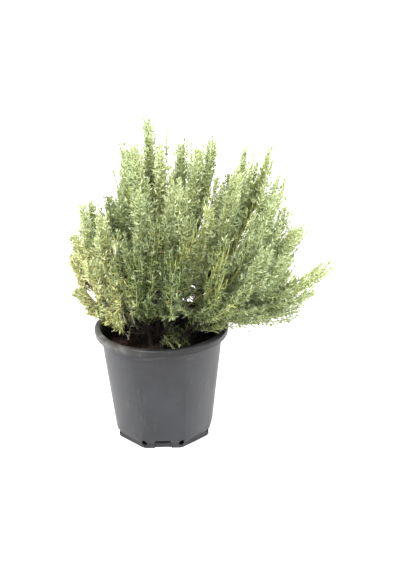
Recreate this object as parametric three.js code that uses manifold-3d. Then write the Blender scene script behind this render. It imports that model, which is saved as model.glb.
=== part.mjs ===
// Common thyme in a round nursery pot.
// Millimetres, +Z up, origin at the centre of the pot's underside. The front of the pot faces -Y.
import * as THREE from "three";
import Module from "manifold-3d";
import { mergeVertices } from "three/addons/utils/BufferGeometryUtils.js";

const wasm = await Module();
wasm.setup();

// Pot: a tapered plastic wall with a rolled rim, open underneath the roll, and an eight-sided foot that
// stands upright for a few millimetres and then leans out to meet the round wall.
const RIM_RADIUS = 70;
const POT_HEIGHT = 121;
const WALL = 1.6;
const WALL_TOP_RADIUS = 64.2;
const WALL_TOP_Z = 118.4;
const BASE_RADIUS = 50.8;
const FOOT_SIDES = 8;
const FOOT_RADIUS = 51.2;
const FOOT_HEIGHT = 5;
const FOOT_LEAN = 31;
const FLOOR = 2.2;
const FLOOR_RADIUS = 45.5;
const CORNER_Z = 14;
const RIM_BAND = 8;
const RIM_DRAFT = 0.4;
const LIP = 1.5;
const ROLL_INSET = 0.8;
const ROLL_DROP = 2.4;
const ROLL_STEPS = 4;
const THROAT = 4;
const POT_SIDES = 40;

// Drainage: a round hole at each corner of the foot, and one slot at the front with a plate behind it.
const HOLE_RADIUS = 3.2;
const HOLE_Z = 5.9;
const HOLE_DEPTH = 14;
const HOLE_SIDES = 7;
const SLOT_TOP_WIDTH = 15.6;
const SLOT_FOOT_WIDTH = 18;
const SLOT_HEIGHT = 10;
const SLOT_BACK = 45.3;
const SLOT_DEPTH = 12;
const PLATE_HEIGHT = 6.4;
const PLATE_FRONT = 46.2;
const PLATE_DEPTH = 1.8;
const PLATE_MARGIN = 1.5;

// How far a cutting solid passes the surface that it cuts.
const OVERSHOOT = 1;

// Soil: a peat plug that follows the inside of the wall.
const SOIL_LEVEL = 99;
const GAP = 0.3;
const SOIL_SIDES = 30;
const SOIL_RINGS = 4;
const SOIL_RADIUS = 60;
const SOIL_BUMP = 1.6;
const SOIL_DISH = 10;
const SOIL_EDGE_DROP = 6;
const SOIL_FLAT_SHARE = 0.75;

// Stems: a trunk stands in its own hole and forks into leaders.
const CROWN = new THREE.Vector3(2, 4, SOIL_LEVEL);
const BURIED = 22;
const HOLE_SLACK = 1;
const TRUNK_RADIUS = 2.5;
const FORK_RADIUS = 1.8;
const LEADER_RADIUS = 1.25;
const TIP_RADIUS = 0.8;
const TRUNK_REACH = 0.26;
const TRUNK_RISE = 31;
const TRUNK_LEAN = 0.45;
const TRUNK_BEND = 0.4;
const TRUNK_STEPS = 4;
const TRUNK_SIDES = 5;
const LOWEST_FORK = 0.3;
const LEAVING_SHARE = 0.3;
const ARRIVING_SHARE = 0.38;
const BARE_STEP = 34;
const SWAY = 2.2;
const SWAY_WAVES = 7;
const SEED = 20417;

// Leaves: whorls of a large and a small pair, each whorl a quarter turn from the last.
const LEAF_LENGTH = 9;
const LEAF_WIDTH = 3;
const LEAF_WIDEST = 0.48;
const MINOR_SHARE = 0.75;
const LEAF_SPREAD = 0.95;
const SPREAD_DRAW = 0.2;
const SIZE_DRAW = 0.2;
const TIP_SPREAD = 0.42;
const LEAF_CLEARANCE = 0.35;
// Shares of a leaf's length where its room is tested, and the openings tried, as shares of its own.
const LEAF_TESTS = [0.35, 0.6, 0.8, 1];
const OPENINGS = [1, 0.72, 1.25, 0.5];
const WHORL_STEP = 24.2;
const WHORL_HEIGHT = 2.2;
const WHORL_TWIST = 0.25;
const TIP_GAP = 3;
const BARE_SHARE = 0.36;

// Each foot is where a trunk leaves the soil (x, y). Each tip is the end of a leader (x, y, z), and its
// last number says how far the leader turns up there: 0 straight outwards, 1 upright.
const STEMS = [
  {
    name: "thyme_stem_01",
    foot: [-4, 11],
    tips: [
      [-7, 15, 334, 0.6], [9, 34, 318, 0.6], [5, -2, 311, 0.7], [-32, 10, 310, 1],
      [-18, -8, 312, 0.7], [14, -8, 290, 0.6],
    ],
  },
  {
    name: "thyme_stem_02",
    foot: [9, 11],
    tips: [
      [27, 31, 309, 0.6], [38, 8, 303, 0.6], [46, 44, 299, 0.6], [55, 20, 313, 0.7],
      [58, -2, 276, 0.6],
    ],
  },
  {
    name: "thyme_stem_03",
    foot: [19, 8],
    tips: [
      [89, 16, 304, 0.8], [102, 45, 279, 0.7], [115, 30, 299, 0.5], [80, -7, 290, 0.5],
    ],
  },
  {
    name: "thyme_stem_04",
    foot: [20, -3],
    tips: [
      [122, 8, 276, 0.7], [116, -18, 262, 0.7], [129, 22, 238, 0.8], [141, -6, 225, 0.4],
      [105, 0, 262, 0.6],
    ],
  },
  {
    name: "thyme_stem_05",
    foot: [30, 1],
    tips: [
      [150, 40, 214, 0.35], [136, 14, 172, 0.5], [174, 0, 188, 0.5], [130, -24, 204, 0.5],
      [126, -4, 145, 0], [156, -8, 162, 0.4], [146, 8, 156, 0.15],
    ],
  },
  {
    name: "thyme_stem_06",
    foot: [-15, 9],
    tips: [
      [-66, 2, 253, 0.9], [-48, 20, 254, 0.9], [-38, 42, 260, 0.8], [-56, -25, 247, 0.9],
      [-74, -4, 252, 1],
    ],
  },
  {
    name: "thyme_stem_07",
    foot: [-25, 2],
    tips: [
      [-88, 26, 211, 0.8], [-91, 0, 196, 0.6], [-84, -16, 168, 0.4], [-65, -40, 204, 0.8],
      [-72, -12, 144, 0], [-79, -6, 226, 0.9],
    ],
  },
  {
    name: "thyme_stem_08",
    foot: [-11, -8],
    tips: [
      [-15, -38, 275, 0.8], [-37, -60, 240, 0.8], [-21, -76, 225, 0.6], [1, -57, 254, 0.7],
      [-33, -35, 127, 0], [-52, -31, 143, 0],
    ],
  },
  {
    name: "thyme_stem_09",
    foot: [0, -14],
    tips: [
      [23, -30, 283, 0.7], [33, -66, 255, 0.6], [13, -84, 228, 0.5], [50, -43, 268, 0.7],
      [24, -14, 110, 0], [6, -48, 138, 0],
    ],
  },
  {
    name: "thyme_stem_10",
    foot: [16, -15],
    tips: [
      [73, -33, 268, 0.6], [66, -76, 236, 0.6], [94, -48, 252, 0.6], [106, -62, 224, 0.6],
      [84, -76, 190, 0.5], [62, -38, 133, 0], [103, -24, 143, 0],
    ],
  },
  {
    name: "thyme_stem_11",
    foot: [-14, 21],
    tips: [
      [-29, 62, 298, 0.7], [-56, 68, 236, 0.7], [-76, 47, 198, 0.7], [-36, 98, 205, 0.5],
      [-50, 52, 140, 0],
    ],
  },
  {
    name: "thyme_stem_12",
    foot: [3, 26],
    tips: [
      [-4, 84, 262, 0.6], [25, 74, 290, 0.6], [12, 106, 214, 0.5], [50, 86, 255, 0.6],
      [8, 78, 142, 0],
    ],
  },
  {
    name: "thyme_stem_13",
    foot: [18, 22],
    tips: [
      [76, 68, 262, 0.5], [101, 76, 235, 0.5], [122, 52, 204, 0.6], [64, 108, 208, 0.5],
      [90, 44, 150, 0],
    ],
  },
];

// A bare twig that forks just above the soil, left over from pruning.
const TWIG = {
  name: "bare_twig",
  foot: [-36, 11],
  fork: [-36, 10, 102],
  ends: [[-40, 10, 108], [-32, 8, 119]],
};
const TWIG_RADIUS = 0.9;
const TWIG_FOOT_RADIUS = 1.3;
const TWIG_TIP_RADIUS = 0.6;
const TWIG_BURIED = 12;

// Vertices closer than this are one vertex.
const MERGE = 1e-3;

// Places already taken are kept in cells of this size. Leaders are marked at this step.
const TAKEN_CELL = 6;
const MARK_STEP = 2;
const TRUNK_MARKS = 20;

// How far over the soil the tool for a stem's hole reaches, and its sides.
const HOLE_RISE = 30;
const STEM_HOLE_SIDES = 6;

// Random draws come from one seed, so the plant is the same every time.
function seededRandom(seed) {
  let state = seed >>> 0;
  return () => {
    state = (state + 0x6d2b79f5) >>> 0;
    let t = state;
    t = Math.imul(t ^ (t >>> 15), t | 1);
    t ^= t + Math.imul(t ^ (t >>> 7), t | 61);
    return ((t ^ (t >>> 14)) >>> 0) / 4294967296;
  };
}

function vec(a) {
  return new THREE.Vector3(a[0], a[1], a[2]);
}

function toSolid(geometry) {
  const bare = geometry.index ? geometry.clone() : geometry;
  bare.deleteAttribute("normal");
  bare.deleteAttribute("uv");
  const merged = mergeVertices(bare, MERGE);
  return new wasm.Manifold(new wasm.Mesh({
    numProp: 3,
    vertProperties: new Float32Array(merged.attributes.position.array),
    triVerts: new Uint32Array(merged.index.array),
  }));
}

function toGeometry(solid) {
  const mesh = solid.getMesh();
  const geometry = new THREE.BufferGeometry();
  geometry.setAttribute("position", new THREE.BufferAttribute(new Float32Array(mesh.vertProperties), 3));
  geometry.setIndex(new THREE.BufferAttribute(new Uint32Array(mesh.triVerts), 1));
  geometry.computeVertexNormals();
  return geometry;
}

// Leaves that touch can close off a tiny pocket between them; only the outer body is kept.
function fuse(pieces) {
  const settled = toSolid(toGeometry(wasm.Manifold.union(pieces)));
  return settled.decompose().reduce((a, b) => (a.volume() > b.volume() ? a : b));
}

// A lathe turns about +Y, so its result is stood up along +Z.
function turned(profile, sides) {
  const points = profile.map(([radius, height]) => new THREE.Vector2(radius, height));
  return new THREE.LatheGeometry(points, sides).rotateX(Math.PI / 2);
}

function boxSolid(low, high) {
  const size = vec(high).sub(vec(low));
  const centre = vec(high).add(vec(low)).multiplyScalar(0.5);
  return toSolid(new THREE.BoxGeometry(size.x, size.y, size.z).translate(centre.x, centre.y, centre.z));
}

function outerRadius(z) {
  return BASE_RADIUS + (WALL_TOP_RADIUS - BASE_RADIUS) * z / WALL_TOP_Z;
}

function innerRadius(z) {
  return outerRadius(z) - WALL;
}

function plateBox(margin) {
  const half = SLOT_FOOT_WIDTH / 2 + PLATE_MARGIN + margin;
  return boxSolid(
    [-half, -PLATE_FRONT - margin, FLOOR - OVERSHOOT],
    [half, -PLATE_FRONT + PLATE_DEPTH + margin, PLATE_HEIGHT + margin],
  );
}

// Half a turn of the rim's rolled top, from its outer side over to its inner side.
function rimRoll() {
  const inner = WALL_TOP_RADIUS - ROLL_INSET;
  const centre = (RIM_RADIUS + inner) / 2;
  const half = (RIM_RADIUS - inner) / 2;
  const roll = [];
  for (let i = 0; i <= ROLL_STEPS; i += 1) {
    const angle = Math.PI * i / ROLL_STEPS;
    roll.push([centre + half * Math.cos(angle), POT_HEIGHT - ROLL_DROP * (1 - Math.sin(angle))]);
  }
  return roll;
}

// Outline of the pot's half section, from the middle of its underside to the middle of its floor.
function potProfile() {
  const bandFoot = POT_HEIGHT - RIM_BAND;
  const throat = WALL_TOP_Z - THROAT;
  return [
    [0, 0],
    [BASE_RADIUS, 0],
    [WALL_TOP_RADIUS, WALL_TOP_Z],
    [RIM_RADIUS - LIP - RIM_DRAFT, WALL_TOP_Z],
    [RIM_RADIUS - LIP - RIM_DRAFT, bandFoot],
    [RIM_RADIUS - RIM_DRAFT, bandFoot],
    ...rimRoll(),
    [innerRadius(throat), throat],
    [innerRadius(CORNER_Z), CORNER_Z],
    [FLOOR_RADIUS, FOOT_HEIGHT],
    [FLOOR_RADIUS, FLOOR],
    [0, FLOOR],
  ];
}

// An eight-sided stretch of the foot, its flat faces to the front, back and sides.
function footStretch(lowRadius, highRadius, low, high) {
  const height = high - low;
  const stretch = new THREE.CylinderGeometry(highRadius, lowRadius, height, FOOT_SIDES);
  stretch.rotateX(Math.PI / 2).rotateZ(Math.PI / FOOT_SIDES).translate(0, 0, low + height / 2);
  return toSolid(stretch);
}

// The foot is upright at first and then leans outwards, so it only trims the lowest part of the wall.
function footSolid() {
  const top = POT_HEIGHT + OVERSHOOT;
  const spread = Math.tan(THREE.MathUtils.degToRad(FOOT_LEAN)) / Math.cos(Math.PI / FOOT_SIDES);
  const topRadius = FOOT_RADIUS + (top - FOOT_HEIGHT) * spread;
  const upright = footStretch(FOOT_RADIUS, FOOT_RADIUS, -OVERSHOOT, FOOT_HEIGHT);
  return upright.add(footStretch(FOOT_RADIUS, topRadius, FOOT_HEIGHT, top));
}

// The slot is a little wider at the foot than at its top.
function slotSolid() {
  const outline = new THREE.Shape([
    new THREE.Vector2(-SLOT_FOOT_WIDTH / 2, -OVERSHOOT),
    new THREE.Vector2(SLOT_FOOT_WIDTH / 2, -OVERSHOOT),
    new THREE.Vector2(SLOT_TOP_WIDTH / 2, SLOT_HEIGHT),
    new THREE.Vector2(-SLOT_TOP_WIDTH / 2, SLOT_HEIGHT),
  ]);
  const slot = new THREE.ExtrudeGeometry(outline, { depth: SLOT_DEPTH, bevelEnabled: false });
  return toSolid(slot.rotateX(Math.PI / 2).translate(0, -SLOT_BACK, 0));
}

function makePot() {
  let pot = toSolid(turned(potProfile(), POT_SIDES)).intersect(footSolid());
  pot = pot.subtract(slotSolid()).add(plateBox(0));
  for (let corner = 0; corner < FOOT_SIDES; corner += 1) {
    const drill = new THREE.CylinderGeometry(HOLE_RADIUS, HOLE_RADIUS, HOLE_DEPTH, HOLE_SIDES);
    drill.translate(0, -BASE_RADIUS, 0);
    drill.rotateZ((corner + 0.5) * 2 * Math.PI / FOOT_SIDES);
    drill.translate(0, 0, HOLE_Z);
    pot = pot.subtract(toSolid(drill));
  }
  return pot;
}

// Height of the soil at a place: low mounds, and a slight dish against the wall.
function soilHeight(x, y) {
  const radius = Math.hypot(x, y);
  const mounds = Math.sin(x * 0.13 + 1.1) * Math.cos(y * 0.11 - 0.6) + 0.6 * Math.sin(x * 0.31 - y * 0.27);
  const dish = SOIL_DISH * Math.max(0, radius / SOIL_RADIUS - SOIL_FLAT_SHARE);
  return SOIL_LEVEL + SOIL_BUMP * mounds - dish;
}

function makeSoil() {
  const low = FLOOR + GAP;
  const profile = [
    [0, low],
    [FLOOR_RADIUS - GAP, low],
    [FLOOR_RADIUS - GAP, FOOT_HEIGHT],
    [innerRadius(CORNER_Z) - GAP, CORNER_Z],
  ];
  const edge = innerRadius(SOIL_LEVEL - SOIL_EDGE_DROP) - GAP;
  for (let ring = SOIL_RINGS; ring >= 0; ring -= 1) {
    profile.push([edge * ring / SOIL_RINGS, SOIL_LEVEL]);
  }
  const geometry = turned(profile, SOIL_SIDES);
  const position = geometry.attributes.position;
  for (let i = 0; i < position.count; i += 1) {
    if (position.getZ(i) > (CORNER_Z + SOIL_LEVEL) / 2) {
      position.setZ(i, soilHeight(position.getX(i), position.getY(i)));
    }
  }
  return toSolid(geometry).subtract(plateBox(GAP));
}

// The line of a leader: it leaves the trunk along the trunk's own line and turns up towards its tip.
function leaderCurve(trunk, share, tip, rise, random) {
  const start = trunk.getPoint(share);
  const along = trunk.getTangent(share);
  const length = start.distanceTo(tip);
  const outward = tip.clone().sub(CROWN).normalize();
  const finish = outward.lerp(new THREE.Vector3(0, 0, 1), rise).normalize();
  const first = start.clone().addScaledVector(along, length * LEAVING_SHARE);
  const second = tip.clone().addScaledVector(finish, -length * ARRIVING_SHARE);
  const curve = new THREE.CubicBezierCurve3(start, first, second, tip);
  const phase = random() * Math.PI * 2;
  const turn = random() * Math.PI * 2;
  return { curve, length, phase, turn };
}

// A point on a leader, with the gentle sway that keeps it from being a ruled arc.
function leaderPoint(leader, t) {
  const point = leader.curve.getPoint(t);
  const sway = SWAY * Math.sin(Math.PI * t) * Math.sin(leader.phase + SWAY_WAVES * t);
  point.x += sway * Math.cos(leader.turn);
  point.y += sway * Math.sin(leader.turn);
  return point;
}

function growStem(stem, random) {
  const foot = new THREE.Vector3(stem.foot[0], stem.foot[1], SOIL_LEVEL);
  const tips = stem.tips.map(vec);
  const mean = new THREE.Vector3();
  tips.forEach((tip) => mean.addScaledVector(tip, 1 / tips.length));
  const head = foot.clone().lerp(mean, TRUNK_REACH);
  head.z = Math.max(head.z, SOIL_LEVEL + TRUNK_RISE);
  const bend = foot.clone().lerp(head, TRUNK_BEND);
  bend.x = foot.x + (bend.x - foot.x) * TRUNK_LEAN;
  bend.y = foot.y + (bend.y - foot.y) * TRUNK_LEAN;
  const trunk = new THREE.QuadraticBezierCurve3(foot, bend, head);
  const order = tips.map((tip, i) => i).sort((a, b) => tips[a].z - tips[b].z);
  const leaders = tips.map((tip, i) => {
    const share = LOWEST_FORK + (1 - LOWEST_FORK) * order.indexOf(i) / (tips.length - 1);
    return leaderCurve(trunk, share, tip, stem.tips[i][3], random);
  });
  return { name: stem.name, foot, trunk, leaders };
}

// A cylinder bent along a line of points, its radius given for each point.
function bentTube(points, radii, sides) {
  const steps = points.length - 1;
  const tube = new THREE.CylinderGeometry(1, 1, steps, sides, steps).rotateX(Math.PI / 2);
  const position = tube.attributes.position;
  const frames = points.map((point, i) => {
    const before = points[Math.max(0, i - 1)];
    const after = points[Math.min(steps, i + 1)];
    const along = after.clone().sub(before).normalize();
    const side = new THREE.Vector3(0, 1, 0).cross(along).normalize();
    return { side, other: along.clone().cross(side) };
  });
  for (let i = 0; i < position.count; i += 1) {
    const k = Math.round(position.getZ(i) + steps / 2);
    const moved = points[k].clone();
    moved.addScaledVector(frames[k].side, position.getX(i) * radii[k]);
    moved.addScaledVector(frames[k].other, position.getY(i) * radii[k]);
    position.setXYZ(i, moved.x, moved.y, moved.z);
  }
  return toSolid(tube);
}

function trunkSolid(plant) {
  const points = [plant.foot.clone().setZ(SOIL_LEVEL - BURIED)];
  const radii = [TRUNK_RADIUS];
  for (let i = 0; i <= TRUNK_STEPS; i += 1) {
    points.push(plant.trunk.getPoint(i / TRUNK_STEPS));
    radii.push(TRUNK_RADIUS + (FORK_RADIUS - TRUNK_RADIUS) * i / TRUNK_STEPS);
  }
  return bentTube(points, radii, TRUNK_SIDES);
}

function leaderRadius(t) {
  return LEADER_RADIUS + (TIP_RADIUS - LEADER_RADIUS) * t;
}

// A store of places already taken, to keep leaves of one stem clear of every other stem.
class Taken {
  constructor(cell) {
    this.cell = cell;
    this.boxes = new Map();
  }

  key(x, y, z) {
    return `${Math.floor(x / this.cell)},${Math.floor(y / this.cell)},${Math.floor(z / this.cell)}`;
  }

  put(point, radius, owner, leader) {
    const key = this.key(point.x, point.y, point.z);
    if (!this.boxes.has(key)) {
      this.boxes.set(key, []);
    }
    this.boxes.get(key).push({ point, radius, owner, leader });
  }

  near(point) {
    const found = [];
    for (const dx of [-this.cell, 0, this.cell]) {
      for (const dy of [-this.cell, 0, this.cell]) {
        for (const dz of [-this.cell, 0, this.cell]) {
          found.push(...(this.boxes.get(this.key(point.x + dx, point.y + dy, point.z + dz)) || []));
        }
      }
    }
    return found;
  }
}

function leafLine(root, tip) {
  return LEAF_TESTS.map((share) => root.clone().lerp(tip, share));
}

// Whether a place is inside the pot's wall or rim, or under the soil.
function hitsPot(point) {
  const radius = Math.hypot(point.x, point.y);
  const overWall = radius > innerRadius(SOIL_LEVEL) - 2 && radius < RIM_RADIUS + 2;
  return point.z < SOIL_LEVEL + 3 && radius < RIM_RADIUS || overWall && point.z < POT_HEIGHT + 2;
}

function isClear(line, width, taken, owner, leader) {
  return !line.some(hitsPot) && line.every((point) => taken.near(point).every((other) => {
    if (other.owner === owner && other.leader === leader) {
      return true;
    }
    return point.distanceTo(other.point) > other.radius + width + LEAF_CLEARANCE;
  }));
}

// Rings of a leader from its root to its tip. Two rings close together carry a whorl of leaves.
function leaderRings(leader) {
  const whorls = [];
  let down = TIP_GAP;
  while (down < leader.length * (1 - BARE_SHARE)) {
    whorls.push(1 - down / leader.length);
    down += WHORL_STEP;
  }
  const lowest = whorls[whorls.length - 1];
  const plain = Math.max(1, Math.round(lowest * leader.length / BARE_STEP));
  const rings = [];
  for (let i = 0; i < plain; i += 1) {
    rings.push({ t: lowest * i / plain, whorl: -1 });
  }
  const half = WHORL_HEIGHT / 2 / leader.length;
  whorls.reverse().forEach((t, k) => {
    rings.push({ t: t - half, whorl: k });
    rings.push({ t: t + half, whorl: -1 });
  });
  return rings;
}

function ringCorners(leader, t, twist) {
  const centre = leaderPoint(leader, t);
  const along = leaderPoint(leader, Math.min(1, t + 0.02)).sub(leaderPoint(leader, Math.max(0, t - 0.02)));
  along.normalize();
  const side = new THREE.Vector3(0, 1, 0).cross(along).normalize();
  const other = along.clone().cross(side);
  const corners = [0, 1, 2, 3].map((k) => {
    const angle = twist + k * Math.PI / 2;
    const corner = centre.clone().addScaledVector(side, leaderRadius(t) * Math.cos(angle));
    return corner.addScaledVector(other, leaderRadius(t) * Math.sin(angle));
  });
  return { centre, along, corners };
}

// A leaf on one face of the stem, pressed closer to the stem if its first place is taken.
function findLeaf(low, high, k, size, spread, taken, owner, leader) {
  const next = (k + 1) % 4;
  const across = low.corners[next].clone().sub(low.corners[k]).normalize();
  const outward = across.clone().cross(low.along).normalize();
  const foot = low.corners[k].clone().add(low.corners[next]).multiplyScalar(0.5);
  const head = high.corners[k].clone().add(high.corners[next]).multiplyScalar(0.5);
  for (const opening of OPENINGS.map((share) => share * spread)) {
    const direction = low.along.clone().multiplyScalar(Math.cos(opening));
    direction.addScaledVector(outward, Math.sin(opening));
    const tip = foot.clone().lerp(head, 0.5).addScaledVector(direction, size);
    const line = leafLine(head, tip);
    if (isClear(line, LEAF_WIDTH / 2, taken, owner, leader)) {
      line.forEach((point) => taken.put(point, LEAF_WIDTH / 2, owner, leader));
      const middle = head.clone().lerp(tip, LEAF_WIDEST);
      const left = middle.clone().addScaledVector(across, -LEAF_WIDTH / 2);
      const right = middle.clone().addScaledVector(across, LEAF_WIDTH / 2);
      return [left, right, tip];
    }
  }
  return null;
}

// Triangles of a leaf that opens from the stem face a, b, c, d: left l, right r, tip t.
function leafFaces(a, b, c, d, l, r, t) {
  return [a, b, t, b, c, r, b, r, t, c, d, l, c, l, r, l, t, r, d, a, l, a, t, l];
}

// Triangles that close the two ends of a four-sided stem: a flat root and a pointed tip.
function endFaces(start, last, apex) {
  const faces = [start + 3, start + 2, start + 1, start + 3, start + 1, start];
  for (let k = 0; k < 4; k += 1) {
    faces.push(last + k, last + (k + 1) % 4, apex);
  }
  return faces;
}

// A leader with its leaves as one closed body: a four-sided stem whose faces open into leaves.
function leafyLeader(leader, index, plant, taken, random) {
  const points = [];
  const faces = [];
  let twist = random() * Math.PI;
  const rings = leaderRings(leader).map((ring) => {
    twist += ring.whorl >= 0 ? WHORL_TWIST : 0;
    return { ...ring, ...ringCorners(leader, ring.t, twist), first: 0 };
  });
  const tipWhorl = Math.max(...rings.map((ring) => ring.whorl));
  rings.forEach((ring) => {
    ring.first = points.length;
    points.push(...ring.corners);
  });
  rings.slice(0, -1).forEach((low, i) => {
    const high = rings[i + 1];
    for (let k = 0; k < 4; k += 1) {
      const next = (k + 1) % 4;
      const [a, b, c, d] = [low.first + k, low.first + next, high.first + next, high.first + k];
      const drawn = LEAF_SPREAD + SPREAD_DRAW * (random() - 0.5);
      const opening = low.whorl === tipWhorl ? TIP_SPREAD : drawn;
      const major = (k + low.whorl) % 2 === 0;
      const size = LEAF_LENGTH * (major ? 1 : MINOR_SHARE) * (1 + SIZE_DRAW * (random() - 0.5));
      const leaf = low.whorl < 0 ? null : findLeaf(low, high, k, size, opening, taken, plant.name, index);
      if (leaf) {
        const l = points.length;
        points.push(...leaf);
        faces.push(...leafFaces(a, b, c, d, l, l + 1, l + 2));
      } else {
        faces.push(a, b, c, a, c, d);
      }
    }
  });
  faces.push(...endFaces(rings[0].first, rings[rings.length - 1].first, points.length));
  points.push(leaderPoint(leader, 1));
  const geometry = new THREE.BufferGeometry().setFromPoints(points);
  geometry.setIndex(faces);
  return toSolid(geometry);
}

function markStem(plant, taken) {
  plant.leaders.forEach((leader, index) => {
    const steps = Math.ceil(leader.length / MARK_STEP);
    for (let i = 0; i <= steps; i += 1) {
      taken.put(leaderPoint(leader, i / steps), leaderRadius(i / steps), plant.name, index);
    }
  });
  for (let i = 0; i <= TRUNK_MARKS; i += 1) {
    taken.put(plant.trunk.getPoint(i / TRUNK_MARKS), TRUNK_RADIUS, plant.name, -1);
  }
}

function makeTwig() {
  const foot = new THREE.Vector3(TWIG.foot[0], TWIG.foot[1], SOIL_LEVEL - TWIG_BURIED);
  const level = foot.clone().setZ(SOIL_LEVEL + 1);
  const fork = vec(TWIG.fork);
  const middleRadius = (TWIG_FOOT_RADIUS + TWIG_RADIUS) / 2;
  const parts = [bentTube([foot, level, fork], [TWIG_FOOT_RADIUS, middleRadius, TWIG_RADIUS], TRUNK_SIDES)];
  for (const end of TWIG.ends.map(vec)) {
    const start = fork.clone().addScaledVector(level.clone().sub(fork).normalize(), 1.2);
    const radii = [TWIG_RADIUS, TWIG_RADIUS, TWIG_TIP_RADIUS];
    parts.push(bentTube([start, fork.clone().lerp(end, 0.5), end], radii, 4));
  }
  return fuse(parts);
}

// A plain hole for a stem, a little wider than the buried part and closed below.
function holeSolid(foot, radius, depth) {
  const height = depth + HOLE_RISE;
  const hole = new THREE.CylinderGeometry(radius, radius, height, STEM_HOLE_SIDES).rotateX(Math.PI / 2);
  hole.translate(foot.x, foot.y, SOIL_LEVEL - depth + height / 2);
  return toSolid(hole);
}

const random = seededRandom(SEED);
const plants = STEMS.map((stem) => growStem(stem, random));
const taken = new Taken(TAKEN_CELL);
plants.forEach((plant) => markStem(plant, taken));

const potSolid = makePot();
let soilSolid = makeSoil();
plants.forEach((plant) => {
  soilSolid = soilSolid.subtract(holeSolid(plant.foot, TRUNK_RADIUS + HOLE_SLACK, BURIED + GAP));
});
const twigFoot = new THREE.Vector3(TWIG.foot[0], TWIG.foot[1], 0);
soilSolid = soilSolid.subtract(holeSolid(twigFoot, TWIG_FOOT_RADIUS + HOLE_SLACK, TWIG_BURIED + GAP));

const part = new THREE.Group();

function addPiece(name, solid, colour, roughness) {
  const material = new THREE.MeshStandardMaterial({ color: colour, roughness, metalness: 0 });
  const mesh = new THREE.Mesh(toGeometry(solid), material);
  mesh.name = name;
  part.add(mesh);
}

addPiece("pot", potSolid, 0x5a5c60, 0.5);
addPiece("soil", soilSolid, 0x1c1511, 1);
addPiece(TWIG.name, makeTwig(), 0xa79c86, 0.8);
plants.forEach((plant) => {
  const pieces = [trunkSolid(plant)];
  plant.leaders.forEach((leader, index) => {
    pieces.push(leafyLeader(leader, index, plant, taken, random));
  });
  addPiece(plant.name, fuse(pieces), 0x84935a, 0.75);
});

export default part;
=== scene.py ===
"""Common thyme in a round nursery pot: the visual model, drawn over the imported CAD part."""
import math

import bpy
import bmesh
import numpy as np
from mathutils import Matrix, Vector, noise


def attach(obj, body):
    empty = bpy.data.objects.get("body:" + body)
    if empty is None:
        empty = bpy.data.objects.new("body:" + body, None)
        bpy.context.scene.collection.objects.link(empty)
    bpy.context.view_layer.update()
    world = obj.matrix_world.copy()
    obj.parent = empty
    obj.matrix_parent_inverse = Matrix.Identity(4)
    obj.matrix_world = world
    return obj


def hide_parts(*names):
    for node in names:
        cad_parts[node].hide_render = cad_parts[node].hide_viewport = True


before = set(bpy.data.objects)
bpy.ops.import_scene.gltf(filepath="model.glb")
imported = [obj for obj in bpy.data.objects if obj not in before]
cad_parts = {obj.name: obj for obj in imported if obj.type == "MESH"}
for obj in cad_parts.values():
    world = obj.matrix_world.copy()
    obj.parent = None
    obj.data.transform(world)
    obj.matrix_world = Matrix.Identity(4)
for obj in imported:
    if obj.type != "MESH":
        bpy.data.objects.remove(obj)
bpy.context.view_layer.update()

MM = 0.001

# Sizes, in millimetres, as in the CAD part.
RIM_RADIUS = 70.0
POT_HEIGHT = 121.0
WALL = 1.6
WALL_TOP_RADIUS = 64.2
WALL_TOP_Z = 118.4
BASE_RADIUS = 50.8
FOOT_SIDES = 8
FOOT_RADIUS = 51.2
FOOT_HEIGHT = 5.0
FOOT_LEAN = math.radians(31)
CORNER_Z = 14.0
FLOOR = 2.2
FLOOR_RADIUS = 45.5
RIM_BAND = 8.0
HOLE_RADIUS = 3.2
HOLE_Z = 5.9
HOLE_DEPTH = 14.0
SLOT_TOP_WIDTH = 15.6
SLOT_FOOT_WIDTH = 18.0
SLOT_HEIGHT = 10.0
SLOT_BACK = 45.3
SLOT_DEPTH = 12.0
PLATE_HEIGHT = 6.4
PLATE_FRONT = 46.2
PLATE_DEPTH = 1.8
PLATE_MARGIN = 1.5
GROOVE = 0.8
SOIL_LEVEL = 99.0
OVERSHOOT = 1.0
RIM_DRAFT = 0.4
LIP = 1.5
ROLL_INSET = 0.8
ROLL_DROP = 2.4
ROLL_STEPS = 12
THROAT = 4.0
CORNER_CUT = 0.7
CORNER_STEPS = 3
POT_SIDES = 144
HOLE_SIDES = 20
GROOVE_REACH = 0.5
PLATE_ROOT = 1.0
SHARP_EDGE = math.radians(32)

# The peat's mesh, its crumbs and its fibres.
SOIL_RINGS = 46
SOIL_SIDES = 120
SOIL_EDGE = 59.2
SOIL_GAP = 0.4
SOIL_SHOULDER = 50
MOUND_HEIGHT = 1.6
EDGE_FALL = 10
CLOD_HEIGHT = 1.5
GRAIN_HEIGHT = 0.55
CRUMBS = 2600
CRUMB_REACH = 58
SMALL_CRUMB = (0.5, 1.5)
SMALL_CRUMB_SHARE = 0.85
LARGE_CRUMB = (1.5, 2.8)
LUMP = np.array([(1, 0, 0), (-1, 0, 0), (0, 1, 0), (0, -1, 0), (0, 0, 1), (0, 0, -1)], float)
LUMP_FACES = [(0, 2, 4), (2, 1, 4), (1, 3, 4), (3, 0, 4), (2, 0, 5), (1, 2, 5), (3, 1, 5), (0, 3, 5)]
FIBRES = 420
FIBRE_REACH = 56
FIBRE_LIMIT = 58.5
FIBRE_STEPS = 4
FIBRE_STEP = (0.8, 2.6)
FIBRE_RADIUS = (0.14, 0.32)

# The bare twig.
TWIG_FOOT = np.array([-36, 11, SOIL_LEVEL - 5.0])
TWIG_FORK = np.array([-36, 10, 102.0])
TWIG_ENDS = [np.array([-40, 10, 108.0]), np.array([-32, 8, 119.0])]
STUB_RADII = [1.2, 1.05, 0.95]
TWIG_RADII = (0.95, 0.55)
TWIG_STEPS = 7
TWIG_WOOD = 0.7
TWIG_CROOKEDNESS = 0.25

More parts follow.
